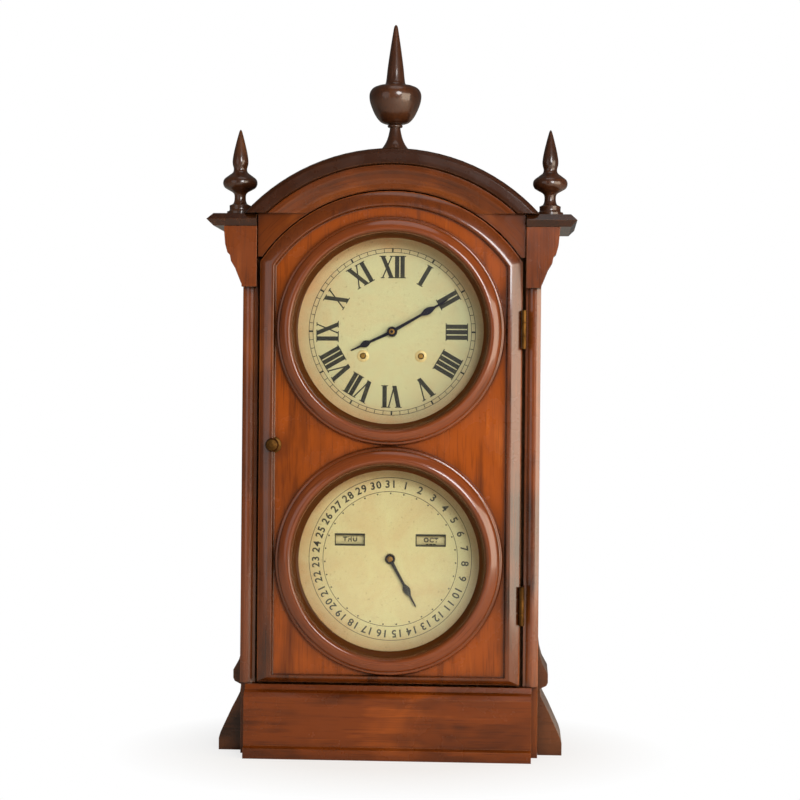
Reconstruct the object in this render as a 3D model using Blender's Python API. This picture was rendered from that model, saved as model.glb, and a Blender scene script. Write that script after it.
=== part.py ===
"""A double-dial perpetual-calendar shelf clock with an arched wooden case.

Lengths are in metres. +Z is up, the front faces -Y, and the origin lies under the middle of the base.
The front of the case boards is the plane y = CASE_FRONT. The door, its rings and the plinth lie before it.
"""

from math import asin, atan2, cos, hypot, pi, radians, sin, sqrt, tau

import bmesh
import bpy
from mathutils import Vector

# Fits
SEAT = 0.0003
RUNNING = 0.0006
WELD = 0.000002

# Case
CASE_HALF_WIDTH = 0.141
CASE_FRONT = -0.040
CASE_BACK = 0.060
SIDE_THICKNESS = 0.010
BACK_THICKNESS = 0.008
BOTTOM_THICKNESS = 0.010
SHOULDER_DROP = 0.0577
ROOF_THICKNESS = 0.0085
ARC_STEPS = 28

# Dials and the rings around them
STILE_WIDTH = 0.0156
RING_WIDTH = 0.0188
RING_RISE = 0.0122
UPPER_RING_LIP = 0.0016
LOWER_RING_LIP = 0.0040
RING_GAP = 0.0004
RING_STEPS = 40
RING_PROFILE_SHARES = (
    (0, 0), (0, 0.30), (0.10, 0.55), (0.26, 0.92), (0.42, 1), (0.60, 0.92), (0.74, 0.62), (0.80, 0.34),
    (1, 0.28), (1, 0),
)
DIAL_MARGIN = 0.006
DIAL_THICKNESS = 0.0015
DIAL_SETBACK = 0.0055
DIAL_BOARD_THICKNESS = 0.006
GLASS_THICKNESS = 0.002
GLASS_REBATE = 0.008

# Door
DOOR_SIDE_GAP = 0.0034
DOOR_THICKNESS = 0.0175
DOOR_REST_GAP = 0.0005
DOOR_SILL_GAP = 0.003
DOOR_LOWER_RAIL = 0.0072
DOOR_TOP_RAIL = 0.0237
DOOR_ARCH_GAP = 0.0014
DOOR_BEAD_INSET = 0.0045
DOOR_BEAD_FOOT = 0.002
DOOR_BEAD_WIDTH = 0.0045
DOOR_BEAD_RISE = 0.002
ARCH_DROP = 0.016

# Front of the case
PILASTER_WIDTH = 0.0142
PILASTER_BULGE = 0.0025
PILASTER_FLAT = 0.0025
PILASTER_SETBACK = 0.0105
PILASTER_START_SHARE = 0.08
FASCIA_WIDTH = 0.0228
FASCIA_TOE = 0.004
HOOD_WIDTH = 0.016
HOOD_PROJECTION = 0.0077
HOOD_PROFILE_SHARES = (
    (0, 0), (0, 0.90), (0.10, 0.99), (0.30, 1), (0.70, 1), (0.88, 0.95), (0.97, 0.84), (1, 0.70), (1, 0),
)
SLOPE_ROOT = 0.002
SLOPE_PROFILE_SHARES = (
    (0, 0), (0.06, 0.14), (0.24, 0.20), (0.46, 0.34), (0.64, 0.56), (0.80, 0.72), (0.94, 0.78), (1, 0.78)
)
BRACKET_HEIGHT = 0.057
BRACKET_REACH = 0.017
BRACKET_PROJECTION = 0.003
BRACKET_PROFILE_SHARES = (
    (0, 0.04), (0.09, 0.10), (0.24, 0.21), (0.36, 0.30), (0.60, 0.42), (0.66, 0.52), (0.80, 0.56),
    (0.93, 0.70), (1, 0.93), (1, 1),
)
EAR_THICKNESS = 0.0117
EAR_REACH = 0.033
EAR_DEPTH = 0.100
EAR_OVERHANG = 0.003

# Base
PLINTH_INSET = 0.006
PLINTH_HEIGHT = 0.068
PLINTH_PROJECTION = 0.014
PLINTH_PROFILE_SHARES = (
    (1, 0), (1, 0.14), (0.84, 0.17), (0.84, 0.84), (0.70, 0.90), (0.52, 0.93), (0.48, 1), (0, 1),
)
WING_REACH = 0.023
WING_HEIGHT = 0.056
SKIRT_HEIGHT = 0.106
SKIRT_REACH = 0.0095
WING_SETBACK = 0.018
WING_PROFILE_SHARES = (
    (1, 0), (1, 0.20), (0.93, 0.30), (0.80, 0.42), (0.62, 0.58), (0.44, 0.74), (0.26, 0.88), (0.12, 1),
)
SKIRT_PROFILE_SHARES = (
    (0.20, 0.14), (0.84, 0.20), (1, 0.26), (1, 0.42), (0.76, 0.50), (0.42, 0.62), (0.16, 0.80), (0.05, 0.98)
)

# Finials
SIDE_FINIAL_OFFSET = 0.0080
SIDE_FINIAL_HEIGHT = 0.084
SIDE_FINIAL_RADIUS = 0.0165
SIDE_FINIAL_STEPS = 16
SIDE_FINIAL_SHARES = (
    (0.76, 0), (0.76, 0.07), (0.62, 0.09), (0.62, 0.15), (0.34, 0.18), (0.34, 0.27), (0.62, 0.30),
    (0.95, 0.35), (1, 0.39), (0.92, 0.44), (0.62, 0.50), (0.38, 0.54), (0.46, 0.60), (0.42, 0.70),
    (0.26, 0.85), (0.10, 0.97),
)
CENTRE_FINIAL_HEIGHT = 0.1292
CENTRE_FINIAL_RADIUS = 0.025
CENTRE_FINIAL_STEPS = 20
CENTRE_FINIAL_SHARES = (
    (0.82, 0), (0.82, 0.035), (0.60, 0.065), (0.40, 0.11), (0.26, 0.17), (0.20, 0.24), (0.22, 0.262),
    (0.50, 0.275), (0.70, 0.31), (0.85, 0.36), (0.96, 0.42), (1, 0.47), (0.93, 0.515), (0.64, 0.548),
    (0.38, 0.56), (0.33, 0.64), (0.22, 0.82), (0.08, 0.98),
)
FINIAL_SETBACK = 0.0248

# Door furniture
HINGE_HEIGHT = 0.036
HINGE_KNUCKLE_RADIUS = 0.0026
HINGE_LEAF_THICKNESS = 0.0012
HINGE_LEAF_DEPTH = 0.014
HINGE_UPPER_SHARE = 0.72
HINGE_LOWER_SHARE = 0.16
HINGE_KNUCKLE_SHARE = 0.34
HINGE_PIN_RADIUS = 0.0012
KNOB_INSET = 0.0135
KNOB_RADIUS = 0.0065
KNOB_LENGTH = 0.013
KNOB_PROFILE_SHARES = ((0.42, 0), (0.42, 0.38), (0.82, 0.52), (1, 0.72), (0.80, 0.94), (0.30, 1))
LATCH_SPINDLE_RADIUS = 0.002
LATCH_LENGTH = 0.0192
LATCH_WIDTH = 0.006
LATCH_THICKNESS = 0.002

# Movement frame
PLATE_HALF_WIDTH = 0.052
PLATE_THICKNESS = 0.0016
PLATE_MARGIN = 0.0075
PLATE_DROP = 0.064
PLATE_CORNER_CUT = 0.010
MOVEMENT_FRONT = -0.002
PLATE_SPACING = 0.0304
PILLAR_RADIUS = 0.003
PILLAR_OFFSET = 0.0385
PILLAR_INSET = 0.004
PIVOT_RADIUS = 0.0012
PIVOT_PROUD = 0.0008
ROUND_STEPS = 8
SEEN_STEPS = 12

# Going train: teeth, module and place
LEAVES = 8
GREAT_TEETH = 72
GREAT_MODULE = 0.0009
CENTRE_TEETH = 70
CENTRE_MODULE = 0.00075
THIRD_TEETH = 70
THIRD_MODULE = 0.00065
ESCAPE_TEETH = 42
ESCAPE_RADIUS = 0.015
ESCAPE_TOOTH = 0.0022
WHEEL_THICKNESS = 0.0013
GREAT_THICKNESS = 0.002
WINDING_ANGLE = -40
THIRD_ANGLE = 125
TIME_PLANE = 0.0065
STRIKE_PLANE = 0.010
CENTRE_PLANE = 0.0032
THIRD_PLANE = 0.026
ESCAPE_PLANE = 0.0290
WINDING_RADIUS = 0.0022
HUB_RADIUS = 0.0052
ROOT_SHARE = 1.15
TOOTH_SHARE = 0.75
LEAF_SHARE = 0.60
LEAF_ROOT_SHARE = 0.24
LEAF_TIP_SHARE = 0.09
WHEEL_RIM_SHARE = 0.80
WHEEL_HUB_SHARE = 0.24
WHEEL_ARM_SHARE = 0.16

# Mainsprings
SPRING_START = 0.0165
SPRING_WIDTH = 0.011
SPRING_RADIUS = 0.0238
SPRING_STRIP = 0.0009
SPRING_TURNS = 4
SPRING_TURN_STEPS = 14

# Motion work
CANNON_LEAVES = 12
MINUTE_TEETH = 36
MOTION_MODULE = 0.0007
MINUTE_LEAVES = 10
HOUR_TEETH = 40
MINUTE_WHEEL_ANGLE = 45
ARBOR_RADIUS = 0.0015
PIPE_BORE = 0.0022
PIPE_RADIUS = 0.0032
STUD_RADIUS = 0.0011
MOTION_GAP = 0.0018
HAND_THICKNESS = 0.0007
HAND_STEP = 0.0018
MINUTE_HAND_SHARE = 0.65
HOUR_HAND_SHARE = 0.46
DATE_HAND_SHARE = 0.55
HAND_BOSS = 0.0045
HAND_WIDTH = 0.0034
HAND_SHARES = ((0.46, 0.10), (0.34, 0.52), (0.90, 0.60), (1, 0.65), (0.74, 0.70), (0.30, 0.76), (0.20, 0.96))
MINUTE_HAND_ANGLE = 60
HOUR_HAND_ANGLE = 245
DATE_HAND_ANGLE = 151

# Escapement and pendulum
VERGE_GAP = 0.0065
PALLET_CLEARANCE = 0.0012
PALLET_ANGLE = 38
PALLET_THICKNESS = 0.0011
SUSPENSION_GAP = 0.004
SUSPENSION_BLOCK = 0.006
SUSPENSION_STRIP = 0.0004
SUSPENSION_STRAP = 0.0020
CRUTCH_DROP = 0.036
CRUTCH_GAP = 0.0015
PENDULUM_PLANE = 0.041
BOB_GAP = 0.0388
PENDULUM_ROD_RADIUS = 0.0012
PENDULUM_FLAT_SHARE = 0.9
BOB_RADIUS = 0.026
BOB_THICKNESS = 0.012
BOB_SHARES = ((0.70, 0.5), (0.94, 0.28), (1, 0.10), (1, -0.10), (0.94, -0.28), (0.70, -0.5))
BOB_STEPS = 20

# Strike
COUNT_TEETH = 36
COUNT_RADIUS = 0.0195
COUNT_NOTCH = 0.003
HAMMER_OFFSET = 0.048
HAMMER_DROP = 0.0535
HAMMER_HEAD_RADIUS = 0.005
HAMMER_HEAD_LENGTH = 0.0132
HAMMER_ROD_RADIUS = 0.0012
HAMMER_PLANE_GAP = 0.0045
GONG_FLOOR_GAP = 0.029
GONG_RADIUS = 0.031
GONG_TURNS = 4
GONG_TURN_STEPS = 18
GONG_WIRE_RADIUS = 0.00125
GONG_PLANE = 0.0415
GONG_BASE_RADIUS = 0.0065

# Calendar work
CALENDAR_PLATE_FRONT = -0.005
CALENDAR_SIDE_MARGIN = 0.0085
CALENDAR_MARGIN = 0.024
CALENDAR_POST_RADIUS = 0.003
DATE_TEETH = 31
DATE_RADIUS = 0.0182
DATE_TOOTH = 0.0024
DATE_PLANE = -0.0205
ROLLER_RADIUS = 0.0115
ROLLER_LENGTH = 0.030
ROLLER_GAP = 0.0053
ROLLER_RISE = 0.018
ROLLER_PLANE = -0.0202
ROLLER_PIVOT = 0.0012
EAR_TAB_THICKNESS = 0.0012
WINDOW_INSET = 0.0015
WINDOW_HALF_HEIGHT = 0.0050
CAM_STEPS = 48
CAM_RADIUS = 0.0185
CAM_NOTCH = 0.0022
CAM_DROP = 0.034
CAM_PLANE = -0.0125
LEVER_OFFSET = 0.0125
LEVER_WIDTH = 0.004
LEVER_THICKNESS = 0.0015
LEVER_PLANE = -0.0175
LEVER_STOP = 0.0318
LEVER_START = 0.0162
LEVER_RISE = 0.008

# Places worked out from the sizes above
PILASTER_INNER = CASE_HALF_WIDTH - PILASTER_WIDTH
DOOR_HALF_WIDTH = PILASTER_INNER - DOOR_SIDE_GAP
PLINTH_HALF_WIDTH = CASE_HALF_WIDTH - PLINTH_INSET
KNOB_OFFSET = DOOR_HALF_WIDTH - KNOB_INSET
RING_OUTER_RADIUS = DOOR_HALF_WIDTH - STILE_WIDTH
RING_INNER_RADIUS = RING_OUTER_RADIUS - RING_WIDTH
DIAL_RADIUS = RING_INNER_RADIUS + DIAL_MARGIN
GLASS_HOLE_RADIUS = RING_INNER_RADIUS + GLASS_REBATE
DOOR_BACK = CASE_FRONT - DOOR_REST_GAP
DOOR_FRONT = DOOR_BACK - DOOR_THICKNESS
DOOR_BOTTOM = PLINTH_HEIGHT + DOOR_SILL_GAP
LOWER_DIAL = DOOR_BOTTOM + DOOR_LOWER_RAIL + RING_OUTER_RADIUS
UPPER_DIAL = LOWER_DIAL + 2 * RING_OUTER_RADIUS + RING_GAP
ARCH_CENTRE = UPPER_DIAL - ARCH_DROP
DOOR_ARCH = RING_OUTER_RADIUS + ARCH_DROP + DOOR_TOP_RAIL
FASCIA_INNER = DOOR_ARCH + DOOR_ARCH_GAP
FASCIA_OUTER = FASCIA_INNER + FASCIA_WIDTH
HOOD_INNER = FASCIA_OUTER + SEAT
HOOD_OUTER = HOOD_INNER + HOOD_WIDTH
SIDE_HEIGHT = ARCH_CENTRE + FASCIA_OUTER - SHOULDER_DROP
EAR_BOTTOM = SIDE_HEIGHT + SEAT
EAR_TOP = EAR_BOTTOM + EAR_THICKNESS
ROOF_OUTER = hypot(CASE_HALF_WIDTH, SIDE_HEIGHT + SEAT - ARCH_CENTRE)
ROOF_INNER = ROOF_OUTER - ROOF_THICKNESS
INNER_HALF_WIDTH = CASE_HALF_WIDTH - SIDE_THICKNESS - SEAT
RING_BACK = DOOR_FRONT - SEAT
RING_FRONT = RING_BACK - RING_RISE
DIAL_FRONT = CASE_FRONT + DIAL_SETBACK
DIAL_BACK = DIAL_FRONT + DIAL_THICKNESS
BOARD_FRONT = DIAL_BACK + SEAT
BOARD_BACK = BOARD_FRONT + DIAL_BOARD_THICKNESS
BACKBOARD_FRONT = CASE_BACK - BACK_THICKNESS
FRONT_PLATE_BACK = MOVEMENT_FRONT + PLATE_THICKNESS
REAR_PLATE_FRONT = FRONT_PLATE_BACK + PLATE_SPACING
REAR_PLATE_BACK = REAR_PLATE_FRONT + PLATE_THICKNESS
ARBOR_FRONT = MOVEMENT_FRONT - PIVOT_PROUD
ARBOR_BACK = REAR_PLATE_BACK + PIVOT_PROUD
FINIAL_Y = CASE_FRONT + FINIAL_SETBACK
ROLLER_OFFSET = DATE_RADIUS + ROLLER_GAP + ROLLER_LENGTH / 2
CALENDAR_HALF_WIDTH = ROLLER_OFFSET + ROLLER_LENGTH / 2 + CALENDAR_SIDE_MARGIN
CALENDAR_RISE = ROLLER_RISE + CALENDAR_MARGIN
CALENDAR_DROP = CAM_DROP + CALENDAR_MARGIN
GONG_HEIGHT = BOTTOM_THICKNESS + GONG_FLOOR_GAP + GONG_RADIUS
BOB_CENTRE = GONG_HEIGHT + GONG_RADIUS + GONG_WIRE_RADIUS + BOB_GAP + BOB_RADIUS
HINGE_X = (DOOR_HALF_WIDTH + PILASTER_INNER) / 2
HINGE_Y = DOOR_FRONT - SEAT - HINGE_KNUCKLE_RADIUS
KNOB_Z = (UPPER_DIAL + LOWER_DIAL) / 2


def toward(angle, distance, start=(0, 0)):
    """The point at this distance and angle in degrees from start, in the plane of the dials."""
    return start[0] + distance * cos(radians(angle)), start[1] + distance * sin(radians(angle))


def mesh_distance(teeth, other_teeth, module):
    return (teeth + other_teeth) * module / 2


CENTRE = (0, UPPER_DIAL)
TIME_ARBOR = toward(WINDING_ANGLE, mesh_distance(GREAT_TEETH, LEAVES, GREAT_MODULE), CENTRE)
STRIKE_ARBOR = (-TIME_ARBOR[0], TIME_ARBOR[1])
THIRD_ARBOR = toward(THIRD_ANGLE, mesh_distance(CENTRE_TEETH, LEAVES, CENTRE_MODULE), CENTRE)
ESCAPE_REACH = mesh_distance(THIRD_TEETH, LEAVES, THIRD_MODULE)
ESCAPE_ARBOR = (0, THIRD_ARBOR[1] + sqrt(ESCAPE_REACH**2 - THIRD_ARBOR[0] ** 2))
MINUTE_ARBOR = toward(MINUTE_WHEEL_ANGLE, mesh_distance(CANNON_LEAVES, MINUTE_TEETH, MOTION_MODULE), CENTRE)
HOUR_MODULE = MOTION_MODULE * (CANNON_LEAVES + MINUTE_TEETH) / (MINUTE_LEAVES + HOUR_TEETH)
VERGE_ARBOR = (0, ESCAPE_ARBOR[1] + ESCAPE_RADIUS + VERGE_GAP)
PLATE_TOP = VERGE_ARBOR[1] + PLATE_MARGIN
PLATE_BOTTOM = UPPER_DIAL - PLATE_DROP
SUSPENSION = (0, PLATE_TOP + SUSPENSION_GAP)
HAMMER_ARBOR = (-HAMMER_OFFSET, UPPER_DIAL - HAMMER_DROP)
CAM_ARBOR = (0, LOWER_DIAL - CAM_DROP)


def material(name, colour, roughness, metallic=0.0, alpha=1.0):
    """A plain finish for the solids of one kind."""
    made = bpy.data.materials.new(name)
    made.use_nodes = True
    shader = made.node_tree.nodes["Principled BSDF"]
    shader.inputs["Base Color"].default_value = (*colour, 1)
    shader.inputs["Roughness"].default_value = roughness
    shader.inputs["Metallic"].default_value = metallic
    shader.inputs["Alpha"].default_value = alpha
    return made


def clear_scene():
    for obj in list(bpy.data.objects):
        bpy.data.objects.remove(obj, do_unlink=True)


def group(name, point=(0, 0, 0)):
    """An empty on a joint's axis, which carries the pieces that move together."""
    empty = bpy.data.objects.new(name, None)
    empty.location = point
    bpy.context.scene.collection.objects.link(empty)
    return empty


def finish(name, bm, surface, carrier=None, smooth=35):
    """Turns a bmesh, drawn in the part's own frame, into an object whose origin lies on its carrier."""
    bmesh.ops.remove_doubles(bm, verts=bm.verts, dist=WELD)
    bmesh.ops.recalc_face_normals(bm, faces=bm.faces)
    if carrier:
        bmesh.ops.translate(bm, verts=bm.verts, vec=-carrier.location)
    mesh = bpy.data.meshes.new(name)
    bm.to_mesh(mesh)
    bm.free()
    if smooth:
        mesh.shade_smooth()
        mesh.set_sharp_from_angle(angle=radians(smooth))
    mesh.materials.append(surface)
    made = bpy.data.objects.new(name, mesh)
    bpy.context.scene.collection.objects.link(made)
    made.parent = carrier
    return made


def along(axis, u, v, w):
    """A point from outline coordinates u and v and the place w along an axis."""
    if axis == "X":
        return Vector((w, u, v))
    if axis == "Y":
        return Vector((u, w, v))
    return Vector((u, v, w))


def circle(radius, steps, centre=(0, 0), phase=0.0):
    return [
        (centre[0] + radius * cos(phase + tau * i / steps), centre[1] + radius * sin(phase + tau * i / steps))
        for i in range(steps)
    ]


def arc(radius, start, end, steps, centre=(0, 0)):
    """Points on an arc between two angles in radians, both ends included."""
    turns = [start + (end - start) * i / steps for i in range(steps + 1)]
    return [(centre[0] + radius * cos(turn), centre[1] + radius * sin(turn)) for turn in turns]


def rectangle(left, right, bottom, top):
    return [(left, bottom), (right, bottom), (right, top), (left, top)]


def prism_mesh(outlines, axis, start, end):
    """A bmesh of an outline with holes, extruded along an axis."""
    bm = bmesh.new()
    edges = []
    for outline in outlines:
        points = [bm.verts.new(along(axis, u, v, start)) for u, v in outline]
        edges += [bm.edges.new(pair) for pair in zip(points, points[1:] + points[:1])]
    bmesh.ops.triangle_fill(bm, use_beauty=True, edges=edges)
    bmesh.ops.dissolve_limit(bm, angle_limit=radians(1), verts=[], edges=bm.edges)
    made = bmesh.ops.extrude_face_region(bm, geom=bm.faces[:])
    moved = [item for item in made["geom"] if isinstance(item, bmesh.types.BMVert)]
    bmesh.ops.translate(bm, verts=moved, vec=along(axis, 0, 0, end - start))
    return bm


def prism(name, outlines, axis, start, end, surface, carrier=None):
    return finish(name, prism_mesh(outlines, axis, start, end), surface, carrier)


def turned(
    name, profile, axis, surface, centre=(0, 0), carrier=None, steps=ROUND_STEPS, ring=False, smooth=35
):
    """A shape turned about a line along an axis. The profile is radius and place along the line."""
    bm = bmesh.new()
    rings = []
    for radius, place in profile:
        rings.append([bm.verts.new(along(axis, u, v, place)) for u, v in circle(radius, steps, centre)])
    pairs = list(zip(rings, rings[1:]))
    if ring:
        pairs.append((rings[-1], rings[0]))
    for lower, upper in pairs:
        for i in range(steps):
            j = (i + 1) % steps
            bm.faces.new((lower[i], lower[j], upper[j], upper[i]))
    if not ring:
        bm.faces.new(rings[0])
        bm.faces.new(rings[-1])
    return finish(name, bm, surface, carrier, smooth)


def spindle(name, steps, axis, surface, centre=(0, 0), carrier=None):
    """A stepped round bar from (radius, start, end) lengths that follow one another."""
    profile = []
    for radius, start, end in steps:
        profile += [(radius, start), (radius, end)]
    return turned(name, profile, axis, surface, centre, carrier)


def lofted(name, rings, surface, carrier=None, smooth=35):
    """A closed body through rings of the same number of points, closed by a face at each end."""
    bm = bmesh.new()
    made = [[bm.verts.new(point) for point in ring] for ring in rings]
    count = len(made[0])
    for lower, upper in zip(made, made[1:]):
        for i in range(count):
            j = (i + 1) % count
            bm.faces.new((lower[i], lower[j], upper[j], upper[i]))
    bm.faces.new(made[0])
    bm.faces.new(made[-1])
    return finish(name, bm, surface, carrier, smooth)


def fuse(target, *helpers):
    """Joins hidden helper bodies to the target with Boolean unions."""
    for helper in helpers:
        combine(target, helper, "UNION")
    return target


def combine(target, helper, operation):
    modifier = target.modifiers.new(helper.name, "BOOLEAN")
    modifier.operation = operation
    modifier.solver = "EXACT"
    modifier.object = helper
    helper.hide_render = True
    helper.display_type = "WIRE"


def arched_panel(bottom, half_width, radius, steps=ARC_STEPS):
    """An upright panel outline with a segmental top about the centre of the arch."""
    spring = asin(sqrt(1 - (half_width / radius) ** 2))
    top = arc(radius, spring, pi - spring, steps, (0, ARCH_CENTRE))
    return [(-half_width, bottom), (half_width, bottom)] + top


def arch_band(name, profile, foot, surface, steps=ARC_STEPS):
    """A band that follows the arch, with a profile of radius and depth, and feet cut level at a height."""
    rings = []
    for step in range(steps + 1):
        ring = []
        for radius, depth in profile:
            start = asin((foot - ARCH_CENTRE) / radius)
            turn = start + (pi - 2 * start) * step / steps
            ring.append((radius * cos(turn), depth, ARCH_CENTRE + radius * sin(turn)))
        rings.append(ring)
    return lofted(name, rings, surface)


def gear(teeth, module, centre, phase=0.0, pointed=True):
    """A gear's outline with a tooth centred on phase. A wheel has pointed teeth and a pinion blunt leaves."""
    pitch = teeth * module / 2
    root = pitch - ROOT_SHARE * module
    tip = pitch + (TOOTH_SHARE if pointed else LEAF_SHARE) * module
    root_half = tau / teeth * LEAF_ROOT_SHARE
    tip_half = tau / teeth * LEAF_TIP_SHARE
    points = []
    for tooth in range(teeth):
        middle = phase + tau * tooth / teeth
        turns = [(tip, middle), (root, middle + pi / teeth)]
        if not pointed:
            turns = [
                (root, middle - root_half), (tip, middle - tip_half), (tip, middle + tip_half),
                (root, middle + root_half)
            ]
        points += [(centre[0] + r * cos(a), centre[1] + r * sin(a)) for r, a in turns]
    return points


def ratchet(teeth, radius, depth, centre, phase=0.0, lean=0.75):
    """A wheel outline whose teeth lean one way."""
    points = []
    for tooth in range(teeth):
        middle = phase + tau * tooth / teeth
        points += circle(radius - depth, 1, centre, middle)
        points += circle(radius, 1, centre, middle + lean * tau / teeth)
    return points


def notched(count, radius, depth, centre, skipped):
    """A disc outline with a notch at each step that skipped does not name."""
    points = []
    quarter = tau / count / 4
    for step in range(count):
        start = tau * step / count
        points += circle(radius, 1, centre, start)
        if step not in skipped:
            points += circle(radius, 1, centre, start + quarter)
            points += circle(radius - depth, 1, centre, start + quarter)
            points += circle(radius - depth, 1, centre, start + 3 * quarter)
            points += circle(radius, 1, centre, start + 3 * quarter)
    return points


def crossings(radius, centre, arms=4, phase=0.0):
    """The holes between a wheel's arms."""
    outer = radius * WHEEL_RIM_SHARE
    inner = radius * WHEEL_HUB_SHARE
    half_arm = radius * WHEEL_ARM_SHARE / 2
    holes = []
    for arm in range(arms):
        start = phase + tau * arm / arms
        end = start + tau / arms
        far = asin(half_arm / outer)
        near = asin(half_arm / inner)
        holes.append(
            arc(outer, start + far, end - far, 4, centre) + arc(inner, end - near, start + near, 1, centre)
        )
    return holes


def facing(point, other):
    """The direction from one arbor to another, in radians."""
    return atan2(other[1] - point[1], other[0] - point[0])


def pinion(name, leaves, module, centre, partner, start, end, surface, bore=0.0, carrier=None):
    """A pinion with a space centred on its partner, so that a tooth of the partner fits it."""
    outlines = [gear(leaves, module, centre, facing(centre, partner) + pi / leaves, pointed=False)]
    if bore:
        outlines.append(circle(bore, ROUND_STEPS, centre))
    return prism(name, outlines, "Y", start, end, surface, carrier)


def wheel(name, teeth, module, centre, partner, start, thickness, surface, holes=(), carrier=None):
    """A toothed wheel with a tooth centred on its partner."""
    outlines = [gear(teeth, module, centre, facing(centre, partner))]
    outlines += holes
    return prism(name, outlines, "Y", start, start + thickness, surface, carrier)


def spiral(start_radius, end_radius, turns, thickness, turn_steps, centre):
    """The outline of a strip wound in a flat spiral."""
    count = turns * turn_steps
    middle = [
        (start_radius + (end_radius - start_radius) * i / count, tau * i / turn_steps)
        for i in range(count + 1)
    ]
    outer = [
        (centre[0] + (r + thickness / 2) * cos(a), centre[1] + (r + thickness / 2) * sin(a))
        for r, a in middle
    ]
    inner = [
        (centre[0] + (r - thickness / 2) * cos(a), centre[1] + (r - thickness / 2) * sin(a))
        for r, a in middle
    ]
    return outer + inner[::-1]


def axis_point(arbor):
    return (arbor[0], 0, arbor[1])


def build_case(wood, dark, board):
    inner = INNER_HALF_WIDTH
    roof_line = ROOF_INNER - SEAT
    prism("backboard", [arched_panel(0, inner, roof_line)], "Y", BACKBOARD_FRONT, CASE_BACK, board)
    for name, side in (("side_board_left", -1), ("side_board_right", 1)):
        edges = sorted((side * CASE_HALF_WIDTH, side * (CASE_HALF_WIDTH - SIDE_THICKNESS)))
        prism(name, [rectangle(*edges, 0, SIDE_HEIGHT)], "Y", CASE_FRONT, CASE_BACK, wood)
    floor = rectangle(-inner, inner, CASE_FRONT, BACKBOARD_FRONT - SEAT)
    prism("bottom_board", [floor], "Z", 0, BOTTOM_THICKNESS, wood)
    profile = (
        (ROOF_INNER, CASE_FRONT), (ROOF_OUTER, CASE_FRONT), (ROOF_OUTER, CASE_BACK), (ROOF_INNER, CASE_BACK)
    )
    arch_band("roof_board", profile, SIDE_HEIGHT + SEAT, dark)


def build_hood(wood, dark):
    back = CASE_FRONT - SEAT
    depth = back - DOOR_FRONT + HOOD_PROJECTION
    profile = [(HOOD_INNER + HOOD_WIDTH * r, back - depth * d) for r, d in HOOD_PROFILE_SHARES]
    arch_band("hood_moulding", profile, EAR_TOP + SEAT, dark)
    centre = (0, ARCH_CENTRE)
    shoulder = PILASTER_INNER - SEAT * 3
    toe = shoulder - FASCIA_TOE
    low = asin(sqrt(1 - (toe / FASCIA_INNER) ** 2))
    high = asin((EAR_TOP - ARCH_CENTRE) / FASCIA_OUTER)
    outline = arc(FASCIA_INNER, pi - low, low, ARC_STEPS, centre)
    outline += [(shoulder, outline[-1][1]), (shoulder, EAR_TOP)]
    outline += arc(FASCIA_OUTER, high, pi - high, ARC_STEPS, centre)
    outline += [(-shoulder, EAR_TOP), (-shoulder, outline[0][1])]
    fascia = prism("arch_fascia", [outline], "Y", DOOR_FRONT, back, wood)
    slope = [
        (FASCIA_INNER + FASCIA_WIDTH * r, DOOR_FRONT - HOOD_PROJECTION * h) for r, h in SLOPE_PROFILE_SHARES
    ]
    slope += [(FASCIA_OUTER, DOOR_FRONT + SLOPE_ROOT), (FASCIA_INNER + SLOPE_ROOT, DOOR_FRONT + SLOPE_ROOT)]
    fuse(fascia, arch_band("fascia_slope", slope, EAR_TOP + SEAT, wood))


def build_pilaster(name, side, wood):
    """A band beside the door with a flat strip and a rounded outer face."""
    top = SIDE_HEIGHT - BRACKET_HEIGHT - SEAT
    flat = PILASTER_INNER + PILASTER_FLAT
    front = DOOR_FRONT + PILASTER_SETBACK
    width = CASE_HALF_WIDTH - flat
    turns = [PILASTER_START_SHARE + (1 - PILASTER_START_SHARE) * i / 6 for i in range(7)]
    bulge = [(flat + width * i / 6, front - PILASTER_BULGE * sin(pi * turns[i])) for i in range(7)]
    outline = [(PILASTER_INNER, CASE_FRONT - SEAT), (PILASTER_INNER, front), (flat, front)]
    outline += bulge + [(CASE_HALF_WIDTH, CASE_FRONT - SEAT)]
    mirrored = [(side * x, y) for x, y in outline]
    prism(name, [mirrored], "Z", PLINTH_HEIGHT + SEAT, top, wood)


def build_bracket(name, side, wood):
    """A scrolled bracket that carries the ear."""
    base = SIDE_HEIGHT - BRACKET_HEIGHT
    outline = [(PILASTER_INNER, base), (CASE_HALF_WIDTH, base)]
    outline += [
        (CASE_HALF_WIDTH + BRACKET_REACH * r, base + BRACKET_HEIGHT * h) for r, h in BRACKET_PROFILE_SHARES
    ]
    outline.append((PILASTER_INNER, SIDE_HEIGHT))
    mirrored = [(side * x, z) for x, z in outline]
    prism(name, [mirrored], "Y", DOOR_FRONT - BRACKET_PROJECTION, CASE_FRONT - SEAT, wood)


def build_ear(name, side, dark):
    """A thin cornice plate with a pointed edge, notched round the side of the case."""
    point = EAR_THICKNESS / 2
    front = DOOR_FRONT - EAR_OVERHANG
    back = CASE_FRONT + EAR_DEPTH
    notch = CASE_HALF_WIDTH + 2 * SEAT
    far = CASE_HALF_WIDTH + EAR_REACH - point
    rings = []
    for out, height in ((0, 0), (point, 0.5), (0, 1)):
        plan = [
            (PILASTER_INNER, front - out), (far + out, front - out), (far + out, back - point + out),
            (notch, back - point + out), (notch, CASE_FRONT - SEAT), (PILASTER_INNER, CASE_FRONT - SEAT),
        ]
        rings.append([(side * x, y, EAR_BOTTOM + EAR_THICKNESS * height) for x, y in plan])
    lofted(name, rings, dark)


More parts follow.
